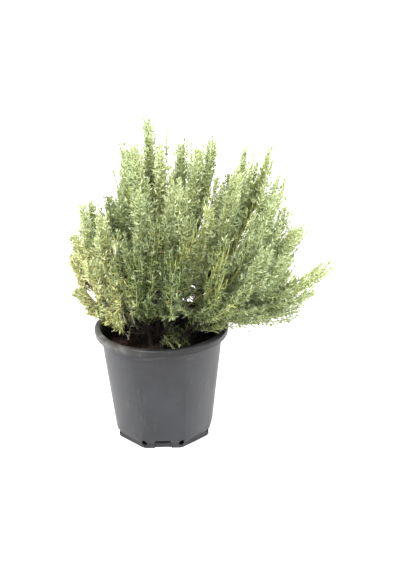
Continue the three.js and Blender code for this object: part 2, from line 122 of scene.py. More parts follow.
TRUNK_RADIUS = 2.5
FORK_RADIUS = 1.8
TRUNK_REACH = 0.26
TRUNK_RISE = 31.0
TRUNK_LEAN = 0.45
TRUNK_BEND = 0.4
LOWEST_FORK = 0.3
LEAVING_SHARE = 0.3
ARRIVING_SHARE = 0.38
SWAY = 2.2
SWAY_WAVES = 7
SEED = 20417
FOLIAGE_SEED = 77
THIN_SEED = 78
CROWN = np.array([2.0, 4.0, SOIL_LEVEL])
UP = np.array([0.0, 0.0, 1.0])

# The thyme stems by number. Each foot is where a trunk leaves the soil (x, y). Each tip is the end of a
# leader (x, y, z) and how far it has turned upright there.
STEMS = {
    1: ((-4, 11), [
        (-7, 15, 334, 0.6), (9, 34, 318, 0.6), (5, -2, 311, 0.7), (-32, 10, 310, 1),
        (-18, -8, 312, 0.7), (14, -8, 290, 0.6)]),
    2: ((9, 11), [
        (27, 31, 309, 0.6), (38, 8, 303, 0.6), (46, 44, 299, 0.6), (55, 20, 313, 0.7),
        (58, -2, 276, 0.6)]),
    3: ((19, 8), [
        (89, 16, 304, 0.8), (102, 45, 279, 0.7), (115, 30, 299, 0.5), (80, -7, 290, 0.5)]),
    4: ((20, -3), [
        (122, 8, 276, 0.7), (116, -18, 262, 0.7), (129, 22, 238, 0.8), (141, -6, 225, 0.4),
        (105, 0, 262, 0.6)]),
    5: ((30, 1), [
        (150, 40, 214, 0.35), (136, 14, 172, 0.5), (174, 0, 188, 0.5), (130, -24, 204, 0.5),
        (126, -4, 145, 0), (156, -8, 162, 0.4), (146, 8, 156, 0.15)]),
    6: ((-15, 9), [
        (-66, 2, 253, 0.9), (-48, 20, 254, 0.9), (-38, 42, 260, 0.8), (-56, -25, 247, 0.9),
        (-74, -4, 252, 1)]),
    7: ((-25, 2), [
        (-88, 26, 211, 0.8), (-91, 0, 196, 0.6), (-84, -16, 168, 0.4), (-65, -40, 204, 0.8),
        (-72, -12, 144, 0), (-79, -6, 226, 0.9)]),
    8: ((-11, -8), [
        (-15, -38, 275, 0.8), (-37, -60, 240, 0.8), (-21, -76, 225, 0.6), (1, -57, 254, 0.7),
        (-33, -35, 127, 0), (-52, -31, 143, 0)]),
    9: ((0, -14), [
        (23, -30, 283, 0.7), (33, -66, 255, 0.6), (13, -84, 228, 0.5), (50, -43, 268, 0.7),
        (24, -14, 110, 0), (6, -48, 138, 0)]),
    10: ((16, -15), [
        (73, -33, 268, 0.6), (66, -76, 236, 0.6), (94, -48, 252, 0.6), (106, -62, 224, 0.6),
        (84, -76, 190, 0.5), (62, -38, 133, 0), (103, -24, 143, 0)]),
    11: ((-14, 21), [
        (-29, 62, 298, 0.7), (-56, 68, 236, 0.7), (-76, 47, 198, 0.7), (-36, 98, 205, 0.5),
        (-50, 52, 140, 0)]),
    12: ((3, 26), [
        (-4, 84, 262, 0.6), (25, 74, 290, 0.6), (12, 106, 214, 0.5), (50, 86, 255, 0.6),
        (8, 78, 142, 0)]),
    13: ((18, 22), [
        (76, 68, 262, 0.5), (101, 76, 235, 0.5), (122, 52, 204, 0.6), (64, 108, 208, 0.5),
        (90, 44, 150, 0)]),
}

# Foliage. Where two lists stand together, the first holds distances from a stem's tip, or shares of a side
# shoot, and the second the values there. How young leaves are goes from 1 at a tip to 0.
WHORL_GAP = 3.5
LEAF_SIZES = ([0, 12, 60, 200], [5.2, 6.0, 6.4, 6.0])
YOUTH = ([0, 15, 70, 170], [1.0, 1.0, 0.68, 0.15])
CURLS = ([0, 25, 60], [0.30, 0.18, 0.0])
SPREADS = ([0, 10, 40], [0.95, 1.15, 1.08])
TUFT_LENGTH = 2.0
TUFT_MARKS = np.array([1.35, 1.12])
TUFT_SIZES = np.array([4.8, 4.2])
TUFT_YOUTH = np.array([0.95, 1.0])
LEAF_SLIMNESS = (0.19, 0.27)
LEAF_LENGTHS = (0.78, 1.18)
SMALL_LENGTHS = (0.5, 0.85)
OPENINGS = (0.7, 1.25)
SMALL_OPENING = 0.75
LARGE_WOBBLE = 0.25
SMALL_WOBBLE = 0.5
LEAF_TILT = 0.3
LEAF_ROLL = 0.055
LEAF_TONE = 0.28
TONE_VARIETY = 0.17
LEADER_VARIETY = 0.06
COMPANION_VARIETY = 0.05
CROWN_VARIETY = 0.08
YOUTH_VARIETY = 0.24
CURL_VARIETY = 0.05
LEADER_BROWN = 0.008

# A leaf's row in a table of leaves: three places each for its root and directions, then single values.
ROOT = slice(0, 3)
DIRECTION = slice(3, 6)
NORMAL = slice(6, 9)
LENGTH, WIDTH, TONE, YOUNG, WOOD, CURL = range(9, 15)
LEAF_COLUMNS = 15

# Where the foliage is golden and dry, as ranges of -x and -z in millimetres, and what that does to it.
# Bark bleaches from the first to the second of the stem's shares in PALE_FROM.
GOLDEN_LEFT = (6, 48)
GOLDEN_BELOW = (-232, -165)
BOTTOM_LEFT = (-120, 0)
BOTTOM_BELOW = (-172, -118)
LOW_DRYNESS = 0.6
DRY_TONE = 0.37
DRY_GROWTH = 0.2
DRY_AGEING = 0.35
PALE_SHARE = 0.7
PALE_FROM = (0.12, 0.35)

# Deep in the bush leaves are older, and they are painted darker there as painted shade from the foliage
# around them. The range is of the distance to the crown, below zero.
DEEP_IN = (-85, -25)
DEPTH_SHADE_TONE = 0.19
DEEP_AGEING = 0.5

# Where a leader's tip has to be for young foliage: high up, far right or far left, as ranges of z, x and -x.
YOUNG_ABOVE = (240, 298)
YOUNG_RIGHT = (66, 128)
YOUNG_LEFT = (30, 62)
LEFT_YOUTH = 0.9
LEAST_YOUTH = 0.13
MORE_YOUTH = 0.95

# Stems: radii at the foot and at the tip, and how woody they are.
LEADER_RADII = (1.35, 0.4)
COMPANION_RADII = (0.8, 0.38)
CROWN_RADII = (0.7, 0.35)
SHOOT_RADII = (0.45, 0.28)
THIN_RADII = (0.75, 0.55)
THIN_LEAFY_RADII = (0.6, 0.35)
TRUNK_RINGS = 15
TRUNK_BURIED = 6
TRUNK_WOBBLE = 0.25
LEADER_WOOD = 1.35
SHOOT_WOOD = 0.6
WOOD_FADE = 2.4
TAPER_SHARE = 0.35
TAPER = 0.68

# Side shoots. How short they are near a tip, how they lengthen down the stem and where that ends.
SHOOT_GAP = 7.8
LOWEST_SHOOT = 0.02
SHOOTS_BELOW = 0.05
SHOOTLESS_TIP = 12
SHOOT_WOBBLE = 0.3
SHOOT_STEPS = 5
MISSING_SHOOTS = 0.18
SHOOT_OPENINGS = (0.5, 0.9)
SHORT_SHOOT = 6
SHOOT_GROWTH = 0.15
LONG_SHOOT = 32
SHOOT_LENGTHS = (0.6, 1.25)
SHOOT_PULL = 0.22
SHOOT_CROOKEDNESS = 0.06
SHOOT_WHORL_GAP = 4.2
SHOOT_LEAF_SIZES = ([0, 0.5, 1], [5.4, 6.4, 5.0])
SHOOT_YOUTH = ([20, 80, 200], [0.85, 0.42, 0.06])
SHOOT_BROWN = 0.01
OLD_SHOOT_BROWN = 0.03
OLD_SHOOT = 120
WOODY_SHARE = 0.4

# Companions rise beside a leader. Shares of the leader where they begin and finish, and how far off they are.
CLOSE_COMPANION = {"begin": (0.3, 0.6), "finish": (0.93, 1.0), "reach": (2.8, 7.8)}
WIDE_COMPANION = {"begin": (0.12, 0.5), "finish": (0.62, 0.95), "reach": (6.5, 17)}
COMPANION_SWAY = 1.2
COMPANION_WAVES = 9
COMPANION_BARE = 0.12

# Old shoots about the crown.
CROWN_SHOOTS = 10
CROWN_BARE = 0.1
CROWN_REACH = (22, 46)
CROWN_BEGIN = (0.05, 0.4)
CROWN_LIFT = (0.2, 1.0)
CROWN_YOUTH = 0.35

# Thin stems that only the visual model has.
THIN_BARE = 0.02
THIN_STEPS = 34
THIN_YOUTH = 0.55
THIN_SMOOTHING = 6
THIN_WOBBLE = 0.12
THIN_WOOD = 0.9
FEWEST_LEAFY = 6

# The space that the pot's wall and rim take up.
WALL_INSIDE = 57.5
POT_MARGIN = 1.2
TOP_MARGIN = 1.0

# How far foliage keeps above the soil inside the pot, and how much more for each millimetre to the front.
CLEAR_SOIL = (25.0, 0.36)
CLEAR_HANGING = (20.0, 0.2)
CLEAR_LOBE = (16.0, 0.0)
CLEAR_CROWN = (10.0, 0.2)
CLEAR_SPRIG = (3.0, 0.0)
CLEAR_WOOD = (2.0, 0.0)

# How a leader is clothed: the share of it that is bare, its close and wide companions, how near its tip
# they end, how far from it they stand, and how long its side shoots are.
FULL = {"bare": 0.2, "close": 8, "wide": 4, "top": 1.0, "spread": 1.0, "shoots": 1.0, "clear": CLEAR_SOIL}
LONE_TIP = {**FULL, "close": 3, "wide": 2, "top": 0.76, "shoots": 0.6}
SPRIG = {**FULL, "bare": 0.3, "close": 5, "wide": 1, "spread": 0.9, "shoots": 0.4, "clear": CLEAR_SPRIG}
LOBE = {**FULL, "bare": 0.58, "close": 4, "wide": 0, "spread": 0.9, "shoots": 0.4, "clear": CLEAR_LOBE}
LOW_SPRAY = {**FULL, "bare": 0.36, "close": 5, "wide": 3, "spread": 0.9, "shoots": 0.5}
HABITS = {
    (1, 1): LONE_TIP,
    (1, 5): LONE_TIP,
    (5, 4): LOW_SPRAY,
    (5, 6): LOW_SPRAY,
    (7, 4): {**LOW_SPRAY, "wide": 0, "spread": 0.7, "shoots": 0.35},
    (8, 4): {**LOBE, "bare": 0.93, "close": 0, "shoots": 0.2},
    (8, 5): LOBE,
    (9, 4): SPRIG,
    (9, 5): LOW_SPRAY,
    (10, 5): {**LOW_SPRAY, "clear": CLEAR_HANGING},
    (10, 6): LOW_SPRAY,
}

# The thin stems: the number of the stem that carries them, the share of their run where the leaves begin,
# how bleached their bark is, how long their side shoots are, and their places.
THIN_STEMS = [
    (1, 0.35, 0.0, 0.6, [[(-6, 12, 130), (-10, 12, 180), (-14, 11, 240), (-16, 10, 302)]]),
    (2, 0.35, 0.0, 0.6, [[(10, 9, 126), (11, 5, 180), (13, 2, 235), (16, 0, 284)]]),
    (2, 0.25, 0.2, 1.0, [[(14, 12, 112), (24, 10, 136), (30, 8, 162), (33, 8, 192)]]),
    (3, 0.35, 0.0, 0.6, [[(34, 6, 136), (70, 4, 178), (96, 5, 220), (110, 9, 264)]]),
    (4, 0.35, 0.0, 0.6, [
        [(44, -4, 134), (90, -2, 165), (118, 0, 190), (134, 0, 223)],
        [(46, -5, 134), (98, -2, 158), (126, 0, 180), (139, 0, 200)],
    ]),
    (5, 0.3, 0.2, 0.6, [
        [(50, 0, 125), (70, -9, 127), (87, -12, 128), (112, -13, 130), (134, -12, 136)],
        [(54, 0, 128), (74, -4, 131), (92, -5, 131), (123, -5, 137), (144, -5, 147)],
        [(52, -2, 127), (76, -14, 129), (100, -20, 131), (124, -22, 139)],
        [(50, -1, 125), (72, -7, 126), (88, -10, 124), (108, -12, 123), (128, -12, 125), (141, -12, 132)],
    ]),
    (5, 0.3, 0.2, 0.8, [
        [(54, -2, 127), (78, -12, 127), (100, -16, 127), (120, -16, 128), (138, -16, 134)],
        [(56, 0, 129), (84, -6, 129), (108, -8, 130), (126, -8, 133), (140, -8, 140)],
    ]),
    (7, 0.62, 0.3, 0.4, [
        [(-30, 1, 122), (-50, -5, 139), (-66, -5, 138), (-76, -5, 147), (-78, -5, 161), (-80, -6, 178),
         (-83, -6, 192)],
    ]),
    (7, 0.5, 0.3, 0.4, [
        [(-32, 0, 124), (-52, -12, 146), (-70, -13, 150), (-78, -13, 165), (-80, -13, 182)],
    ]),
    (7, 0.4, 0.0, 0.6, [[(-30, 2, 124), (-42, 1, 165), (-54, 0, 210), (-57, 0, 246)]]),
    (8, 1.0, 1.0, 0.0, [
        [(-31, 6, 118), (-29, -8, 128), (-30, -18, 138), (-32, -20, 151), (-32, -20, 154),
         (-26, -20, 166), (-26, -20, 177)],
        [(-32, -20, 151), (-34, -21, 156), (-38, -21, 161)],
    ]),
    (8, 0.42, 0.4, 0.5, [
        [(-16, -10, 120), (-30, -24, 146), (-39, -33, 158), (-42, -38, 151), (-42, -39, 140),
         (-39, -38, 130)],
        [(-20, -8, 120), (-36, -18, 142), (-50, -27, 152), (-52, -31, 145), (-45, -33, 134)],
    ]),
    (8, 0.35, 0.4, 0.6, [[(-22, -12, 124), (-40, -30, 150), (-46, -36, 166), (-48, -38, 182)]]),
    (8, 0.5, 0.9, 0.6, [
        [(-24, -14, 114), (-34, -36, 136), (-40, -43, 162), (-46, -45, 196)],
        [(-20, -14, 114), (-27, -34, 138), (-29, -43, 170), (-27, -46, 206)],
    ]),
    (9, 0.1, 0.1, 0.35, [
        [(2, -14, 104), (8, -14, 112), (14, -20, 113), (18, -28, 109)],
        [(2, -12, 106), (10, -8, 114), (18, -14, 114), (27, -24, 109)],
        [(0, -16, 104), (3, -20, 110), (8, -26, 111), (12, -32, 107)],
        [(3, -10, 108), (10, -2, 116), (18, -4, 118), (26, -12, 113)],
    ]),
    (10, 0.35, 0.2, 0.6, [[(34, -20, 122), (52, -30, 128), (76, -32, 130), (99, -31, 135)]]),
    (11, 0.15, 0.2, 1.0, [[(-9, 24, 112), (-10, 28, 126), (-10, 30, 142), (-9, 30, 168)]]),
    (12, 0.2, 0.2, 1.0, [[(8, 24, 112), (18, 22, 134), (27, 20, 158), (31, 20, 186), (32, 20, 214)]]),
]

# Gaps between the stems, seen from the front: lines of places (x, z) where y is 0, and a half width.
SIGHT_GAPS = [
    ([(94, 246), (82, 211), (63, 188), (49, 173)], 3.8),
    ([(54, 268), (50, 245), (42, 228), (36, 212), (24, 201), (14, 184)], 2.8),
    ([(79, 177), (55, 157), (30, 148)], 3.6),
    ([(-44, 215), (-47, 198)], 2.6),
    ([(-74, 167), (-68, 143)], 2.0),
    ([(-62, 159), (-55, 141)], 2.0),
    ([(-30, 269), (-30, 257)], 2.0),
    ([(2, 270), (0, 258)], 2.0),
]
VIEWPOINT = np.array([40.7, -936.0, 515.3])
STEM_SLOT = 0
LEAF_SLOT = 1

# The stems' lines, as in the CAD part.


def seeded_random(seed):
    """The same run of draws between 0 and 1 each time."""
    mask = 0xFFFFFFFF
    state = seed & mask

    def draw():
        nonlocal state
        state = (state + 0x6D2B79F5) & mask
        t = state
        t = ((t ^ (t >> 15)) * (t | 1)) & mask
        t ^= (t + (((t ^ (t >> 7)) * (t | 61)) & mask)) & mask
        return ((t ^ (t >> 14)) & mask) / 4294967296

    return draw


def unit(v):
    return v / np.linalg.norm(v)


def trunk_point(trunk, s):
    a, b, c = trunk
    return (1 - s) ** 2 * a + 2 * s * (1 - s) * b + s * s * c


def trunk_direction(trunk, s):
    a, b, c = trunk
    return unit(2 * (1 - s) * (b - a) + 2 * s * (c - b))


def grow_leader(trunk, share, tip, rise, draw):
    """A leader leaves the trunk along the trunk's own line and turns up towards its tip."""
    start = trunk_point(trunk, share)
    along = trunk_direction(trunk, share)
    length = float(np.linalg.norm(tip - start))
    outward = unit(tip - CROWN)
    finish = unit(outward + (UP - outward) * rise)
    first = start + along * length * LEAVING_SHARE
    second = tip - finish * length * ARRIVING_SHARE
    phase = draw() * math.pi * 2
    turn = draw() * math.pi * 2
    return {"curve": (start, first, second, tip), "length": length, "phase": phase, "turn": turn}


def leader_points(leader, t):
    """Points of a leader at the shares t (an array)."""
    a, b, c, d = leader["curve"]
    t = np.asarray(t, float)[:, None]
    p = (1 - t) ** 3 * a + 3 * t * (1 - t) ** 2 * b + 3 * t * t * (1 - t) * c + t ** 3 * d
    sway = SWAY * np.sin(np.pi * t[:, 0]) * np.sin(leader["phase"] + SWAY_WAVES * t[:, 0])
    p[:, 0] += sway * math.cos(leader["turn"])
    p[:, 1] += sway * math.sin(leader["turn"])
    return p


def grow_plants():
    draw = seeded_random(SEED)
    plants = {}
    for number, (foot, tips) in STEMS.items():
        foot = np.array([foot[0], foot[1], SOIL_LEVEL], float)
        rises = [t[3] for t in tips]
        tips = [np.array(t[:3], float) for t in tips]
        mean = sum(tips) / len(tips)
        head = foot + (mean - foot) * TRUNK_REACH
        head[2] = max(head[2], SOIL_LEVEL + TRUNK_RISE)
        bend = foot + (head - foot) * TRUNK_BEND
        bend[:2] = foot[:2] + (bend[:2] - foot[:2]) * TRUNK_LEAN
        trunk = (foot, bend, head)
        order = sorted(range(len(tips)), key=lambda i: tips[i][2])
        leaders = []
        for i, tip in enumerate(tips):
            share = LOWEST_FORK + (1 - LOWEST_FORK) * order.index(i) / (len(tips) - 1)
            leaders.append(grow_leader(trunk, share, tip, rises[i], draw))
        name = f"thyme_stem_{number:02d}"
        plants[name] = {"number": number, "foot": foot, "trunk": trunk, "leaders": leaders}
    return plants


# Mesh building with arrays.


def add_object(name, data):
    made = bpy.data.objects.new(name, data)
    bpy.context.scene.collection.objects.link(made)
    return made


class Builder:
    """Collects vertices, faces and per-vertex values of one piece."""

    def __init__(self):
        self.verts, self.faces, self.mats = [], [], []
        self.values = {"tone": [], "young": [], "wood": []}
        self.count = 0
        self.leaves = {"big": [], "small": []}
        self.clear = CLEAR_SOIL

    def add(self, verts, faces, tone, wood):
        self.verts.append(verts)
        self.faces.extend([[i + self.count for i in face] for face in faces])
        n = len(verts)
        for key, value in (("tone", tone), ("young", 0.0), ("wood", wood)):
            self.values[key].append(np.broadcast_to(np.asarray(value, np.float32), n))
        self.mats.append(np.full(len(faces), STEM_SLOT, np.int32))
        self.count += n

    def add_leaves(self):
        """Turns the collected leaves into faces, but for those in the pot or soil or in a sight gap."""
        for kind, (points, faces) in LEAVES.items():
            if not self.leaves[kind]:
                continue
            table = np.concatenate(self.leaves[kind])
            tip = table[:, ROOT] + table[:, DIRECTION] * table[:, LENGTH, None]
            middle = (tip + table[:, ROOT]) / 2
            dropped = in_pot(tip, CLEAR_WOOD) | in_pot(middle, CLEAR_WOOD)
            dropped |= in_sight_gap(tip) | in_sight_gap(middle)
            table = table[~dropped]
            verts = place_leaves(points, table)
            copies = len(table)
            offsets = (np.arange(copies) * len(points) + self.count)[:, None, None]
            for size in sorted({len(f) for f in faces}):
                block = np.array([f for f in faces if len(f) == size])[None]
                flat = (block + offsets).reshape(-1, size)
                self.faces.extend(flat.tolist())
                self.mats.append(np.full(len(flat), LEAF_SLOT, np.int32))
            self.verts.append(verts.reshape(-1, 3))
            for key, column in (("tone", TONE), ("young", YOUNG), ("wood", WOOD)):
                self.values[key].append(np.repeat(table[:, column], len(points)).astype(np.float32))
            self.count += copies * len(points)

    def make(self, name, materials):
        self.add_leaves()
        mesh = bpy.data.meshes.new(name)
        mesh.from_pydata((np.concatenate(self.verts) * MM).tolist(), [], self.faces)
        for key, values in self.values.items():
            layer = mesh.attributes.new(key, "FLOAT", "POINT")
            layer.data.foreach_set("value", np.concatenate(values))
        mesh.polygons.foreach_set("material_index", np.concatenate(self.mats))
        mesh.polygons.foreach_set("use_smooth", np.ones(len(mesh.polygons), bool))
        for material in materials:
            mesh.materials.append(material)
        mesh.update()
        return add_object(name, mesh)


def frames_along(points):
    """Direction, side and other side at each point, without sudden turns."""
    along = np.gradient(points, axis=0)
    along /= np.linalg.norm(along, axis=1)[:, None]
    side = np.empty_like(points)
    side[0] = unit(np.cross([0.3, 1.0, 0.1], along[0]))
    for i in range(1, len(points)):
        s = side[i - 1] - along[i] * np.dot(side[i - 1], along[i])
        side[i] = s / math.sqrt(s @ s)
    return along, side, np.cross(along, side)


def ring_faces(rings, sides):
    """Four-sided faces between each ring of a mesh and the next."""
    faces = []
    for i in range(rings - 1):
        low, high = i * sides, (i + 1) * sides
        for k in range(sides):
            n = (k + 1) % sides
            faces.append((low + k, low + n, high + n, high + k))
    return faces


def tube(builder, points, radii, sides, wood, tone):
    """A closed tube round a line of points."""
    along, side, other = frames_along(points)
    angles = np.arange(sides) * 2 * np.pi / sides
    ring = np.cos(angles)[None, :, None] * side[:, None] + np.sin(angles)[None, :, None] * other[:, None]
    verts = (points[:, None] + ring * np.asarray(radii)[:, None, None]).reshape(-1, 3)
    n = len(points)
    faces = ring_faces(n, sides)
    faces.append(tuple(range(sides))[::-1])
    faces.append(tuple((n - 1) * sides + k for k in range(sides)))
    if np.ndim(tone):
        tone = np.repeat(tone, sides)
    builder.add(verts, faces, tone, np.repeat(wood, sides))


# A leaf in its own frame: x along it, y across it (1 is its width), z up (in leaf lengths).
# The margins roll under. A small leaf is a plain folded blade. Faces look up.
def big_leaf():
    rows = [(0.0, 0.26), (0.32, 0.92), (0.68, 0.94)]
    points, faces = [], []
    for s, width in rows:
        points += [(s, -width / 2, -LEAF_ROLL * width), (s, 0.0, 0.0), (s, width / 2, -LEAF_ROLL * width)]
    points.append((1.0, 0.0, -0.02))
    for i in range(len(rows) - 1):
        a, b = i * 3, i * 3 + 3
        faces += [(b, b + 1, a + 1, a), (b + 1, b + 2, a + 2, a + 1)]
    last, tip = (len(rows) - 1) * 3, len(rows) * 3
    faces += [(tip, last + 1, last), (tip, last + 2, last + 1)]
    return np.array(points), faces


def small_leaf():
    points = [(0.0, 0.0, 0.0), (0.42, -0.52, -0.05), (1.0, 0.0, 0.0), (0.42, 0.52, -0.05)]
    return np.array(points), [(0, 1, 2), (0, 2, 3)]


LEAVES = {"big": big_leaf(), "small": small_leaf()}


def place_leaves(points, table):
    """The corners of each leaf of the table."""
    root, direction, normal = table[:, ROOT], table[:, DIRECTION], table[:, NORMAL]
    length, width, curl = table[:, LENGTH, None], table[:, WIDTH, None], table[:, CURL, None]
    across = np.cross(normal, direction)
    across /= np.linalg.norm(across, axis=1)[:, None]
    normal = np.cross(direction, across)
    along = points[None, :, 0] * length
    out = points[None, :, 1] * width
    lift = (points[None, :, 2] + curl * points[None, :, 0] ** 2) * length
    verts = root[:, None] + direction[:, None] * along[..., None]
    return verts + across[:, None] * out[..., None] + normal[:, None] * lift[..., None]


def in_pot(points, clear):
    """Whether places are in the pot's wall or rim, or nearer the soil than clear asks."""
    radius = np.hypot(points[..., 0], points[..., 1])
    z = points[..., 2]
    near = radius < RIM_RADIUS + POT_MARGIN
    wall = near & (radius > WALL_INSIDE) & (z < POT_HEIGHT + TOP_MARGIN)
    height, slope = clear
    soil = near & (z < SOIL_LEVEL + height + slope * np.maximum(0, -points[..., 1]))
    return wall | soil


def in_sight_gap(points):
    """Whether places lie in one of the gaps between the stems that show from the viewpoint."""
    share = VIEWPOINT[1] / (VIEWPOINT[1] - points[:, 1])
    seen = (VIEWPOINT + (points - VIEWPOINT) * share[:, None])[:, [0, 2]]
    inside = np.zeros(len(points), bool)
    for places, width in SIGHT_GAPS:
        for start, end in zip(np.array(places, float), np.array(places[1:], float)):
            run = end - start
            along = np.clip((seen - start) @ run / (run @ run), 0, 1)
            inside |= np.linalg.norm(seen - start - along[:, None] * run, axis=1) < width
    return inside


def ease(low, high, values):
    """0 below low, 1 above high and a smooth rise between them."""
    share = np.clip((values - low) / (high - low), 0, 1)
    return share * share * (3 - 2 * share)


def dryness(points):
    """How golden the foliage is at a place: most at the lower left, a little along the bottom."""
    x, z = points[..., 0], points[..., 2]
    left = ease(*GOLDEN_LEFT, -x) * ease(*GOLDEN_BELOW, -z)
    low = LOW_DRYNESS * ease(*BOTTOM_BELOW, -z) * ease(*BOTTOM_LEFT, -x)
    return np.maximum(left, low)


def youthfulness(tip):
    """Leaders that end high up or far out are young; those in the middle of the front are mature."""
    x, z = tip[0], tip[2]
    outer = max(ease(*YOUNG_ABOVE, z), ease(*YOUNG_RIGHT, x), LEFT_YOUTH * ease(*YOUNG_LEFT, -x))
    return LEAST_YOUTH + MORE_YOUTH * outer


def run_length(line):
    return float(np.linalg.norm(np.diff(line, axis=0), axis=1).sum())


def whorls(builder, rng, data, marks, pairs, look, brown=0.0, kind="small"):
    """Leaf whorls at the marks (float indices along a line): two large leaves and smaller ones between.

    The look says the leaves' size, how young they are, their tone, how far they open and how they curl."""
    points, along, side, other = data
    index = np.clip(marks, 0, len(points) - 1.001)
    low = index.astype(int)
    mix = (index - low)[:, None]
    place = points[low] * (1 - mix) + points[low + 1] * mix
    d, s, o = along[low], side[low], other[low]
    n = len(index)
    dry = dryness(place)
    deep = ease(*DEEP_IN, -np.linalg.norm(place - CROWN, axis=1))
    size = look["size"] * (1 + DRY_GROWTH * dry)
    # Painted shade: deep in the bush the leaves are darker and less young.
    tone = look["tone"] + DRY_TONE * dry - DEPTH_SHADE_TONE * deep
    young = look["young"] * (1 - DRY_AGEING * dry) * (1 - DEEP_AGEING * deep)
    turn = rng.uniform(0, math.pi) + np.arange(n) * math.pi / 2
    for pair in range(pairs):
        small = pair > 0
        for half in (0, 1):
            wobble = rng.normal(0, SMALL_WOBBLE if small else LARGE_WOBBLE, n)
            angle = turn + (half + pair * 0.5) * math.pi + wobble
            outward = np.cos(angle)[:, None] * s + np.sin(angle)[:, None] * o
            opening = look["spread"] * rng.uniform(*OPENINGS, n) * (SMALL_OPENING if small else 1.0)
            sin, cos = np.sin(opening)[:, None], np.cos(opening)[:, None]
            length = size * rng.uniform(*LEAF_LENGTHS, n)
            if small:
                length = length * rng.uniform(*SMALL_LENGTHS, n)
            table = np.empty((n, LEAF_COLUMNS))
            table[:, ROOT] = place
            table[:, DIRECTION] = outward * sin + d * cos
            table[:, NORMAL] = d * sin - outward * cos + o * rng.normal(0, LEAF_TILT, (n, 1))
            table[:, LENGTH] = length
            table[:, WIDTH] = length * rng.uniform(*LEAF_SLIMNESS, n)
            table[:, TONE] = np.clip(tone + rng.normal(0, TONE_VARIETY, n), 0, 1)
            table[:, YOUNG] = np.clip(young + rng.normal(0, YOUTH_VARIETY, n), 0, 1)
            table[:, WOOD] = rng.uniform(0, 1, n) < brown * (1 + 2 * dry)
            table[:, CURL] = look["curl"] + rng.normal(0, CURL_VARIETY, n)
            kept = ~in_pot(place + table[:, DIRECTION] * length[:, None], builder.clear)
            builder.leaves["small" if small else kind].append(table[kept])


def shoot_line(rng, start, direction, pull, length, steps):
    """A side shoot: leaves its stem at an angle and curves up."""
    points = [start]
    d = unit(direction)
    step = length / (steps - 1)
    bends = rng.normal(0, SHOOT_CROOKEDNESS, (steps, 3))
    for i in range(steps - 1):
        d = unit(d + pull * SHOOT_PULL + bends[i])
        points.append(points[-1] + d * step)
    return np.array(points)


def grow_stem(plant, rng):
    """A trunk with its bark, its clothed leaders and the old shoots about its crown."""
    builder = Builder()
    rings = TRUNK_RINGS
    shares = np.linspace(0, 1, rings - 1)
    trunk = np.array([plant["foot"] - UP * TRUNK_BURIED] + [trunk_point(plant["trunk"], s) for s in shares])
    wobble = rng.normal(0, TRUNK_WOBBLE, trunk.shape)
    wobble[:3] = 0
    radii = np.linspace(TRUNK_RADIUS * 1.05, FORK_RADIUS * 0.9, rings - 1)
    radii = np.concatenate([[TRUNK_RADIUS * 1.1], radii]) * rng.uniform(0.9, 1.1, rings)
    tube(builder, trunk + wobble, radii, sides=9, wood=np.ones(rings), tone=0.0)
    for index, leader in enumerate(plant["leaders"]):
        grow_leader_foliage(builder, rng, leader, HABITS.get((plant["number"], index), FULL))
    crown_shoots(builder, rng, plant)
    return builder


def grow_leader_foliage(builder, rng, leader, habit):
    """A leader's own leaves and shoots, and the companions that rise beside it and stop short of its tip."""
    length = leader["length"]
    points = leader_points(leader, np.linspace(0, 1, max(10, int(length / 6))))
    builder.clear = habit["clear"]
    look = {"tone": LEAF_TONE + rng.normal(0, LEADER_VARIETY), "youth": youthfulness(leader["curve"][3])}
    dress(builder, rng, points, length, habit["bare"], LEADER_RADII, look,
          vigour=1.0, wooden=True, shoots=habit["shoots"])
    for k in range(habit["close"] + habit["wide"]):
        kind = CLOSE_COMPANION if k < habit["close"] else WIDE_COMPANION
        begin = max(rng.uniform(*kind["begin"]), habit["bare"])
        finish = rng.uniform(*kind["finish"]) * habit["top"]
        reach = rng.uniform(*kind["reach"]) * habit["spread"]
        beside = companion(leader, rng, begin, finish, reach)
        if in_pot(beside[2:], CLEAR_WOOD).any() or in_pot(beside[-3:], builder.clear).any():
            continue
        own = {"tone": look["tone"] + rng.normal(0, COMPANION_VARIETY), "youth": look["youth"]}
        dress(builder, rng, beside, run_length(beside), COMPANION_BARE, COMPANION_RADII, own,
              vigour=0.7, wooden=False, shoots=habit["shoots"])


def crown_shoots(builder, rng, plant):
    """Short old shoots that fill the middle of the plant, just above the trunks."""
    builder.clear = CLEAR_SOIL
    for _ in range(CROWN_SHOOTS):
        leader = plant["leaders"][int(rng.integers(len(plant["leaders"])))]
        begin = leader_points(leader, [rng.uniform(*CROWN_BEGIN)])[0]
        heading = rng.uniform(0, 2 * math.pi)
        side = np.array([math.cos(heading), math.sin(heading), 0.0])
        direction = side + UP * rng.uniform(*CROWN_LIFT)
        line = shoot_line(rng, begin, direction, UP * 0.5 + side * 0.3, rng.uniform(*CROWN_REACH), steps=9)
        if in_pot(line[1:], CLEAR_CROWN).any():
            continue
        look = {"tone": LEAF_TONE + rng.normal(0, CROWN_VARIETY), "youth": CROWN_YOUTH}
        dress(builder, rng, line, run_length(line), CROWN_BARE, CROWN_RADII, look,
              vigour=0.7, wooden=False, shoots=0.4)


def companion(leader, rng, begin, finish, reach):
    """A line that leaves the leader, runs beside it at about the reach and sways a little."""
    steps = max(8, int(leader["length"] * (finish - begin) / 7))
    t = np.linspace(begin, finish, steps)
    spine = leader_points(leader, t)
    along, side, other = frames_along(spine)
    angle = rng.uniform(0, 2 * math.pi)
    u = (t - begin) / (finish - begin)
    curve = reach * (0.75 * ease(0, 0.4, u) + 0.25 * u) + COMPANION_SWAY * np.sin(u * COMPANION_WAVES + angle)
    lateral = math.cos(angle) * side + math.sin(angle) * other
    return spine + lateral * (curve * np.clip(u * 6, 0, 1))[:, None]


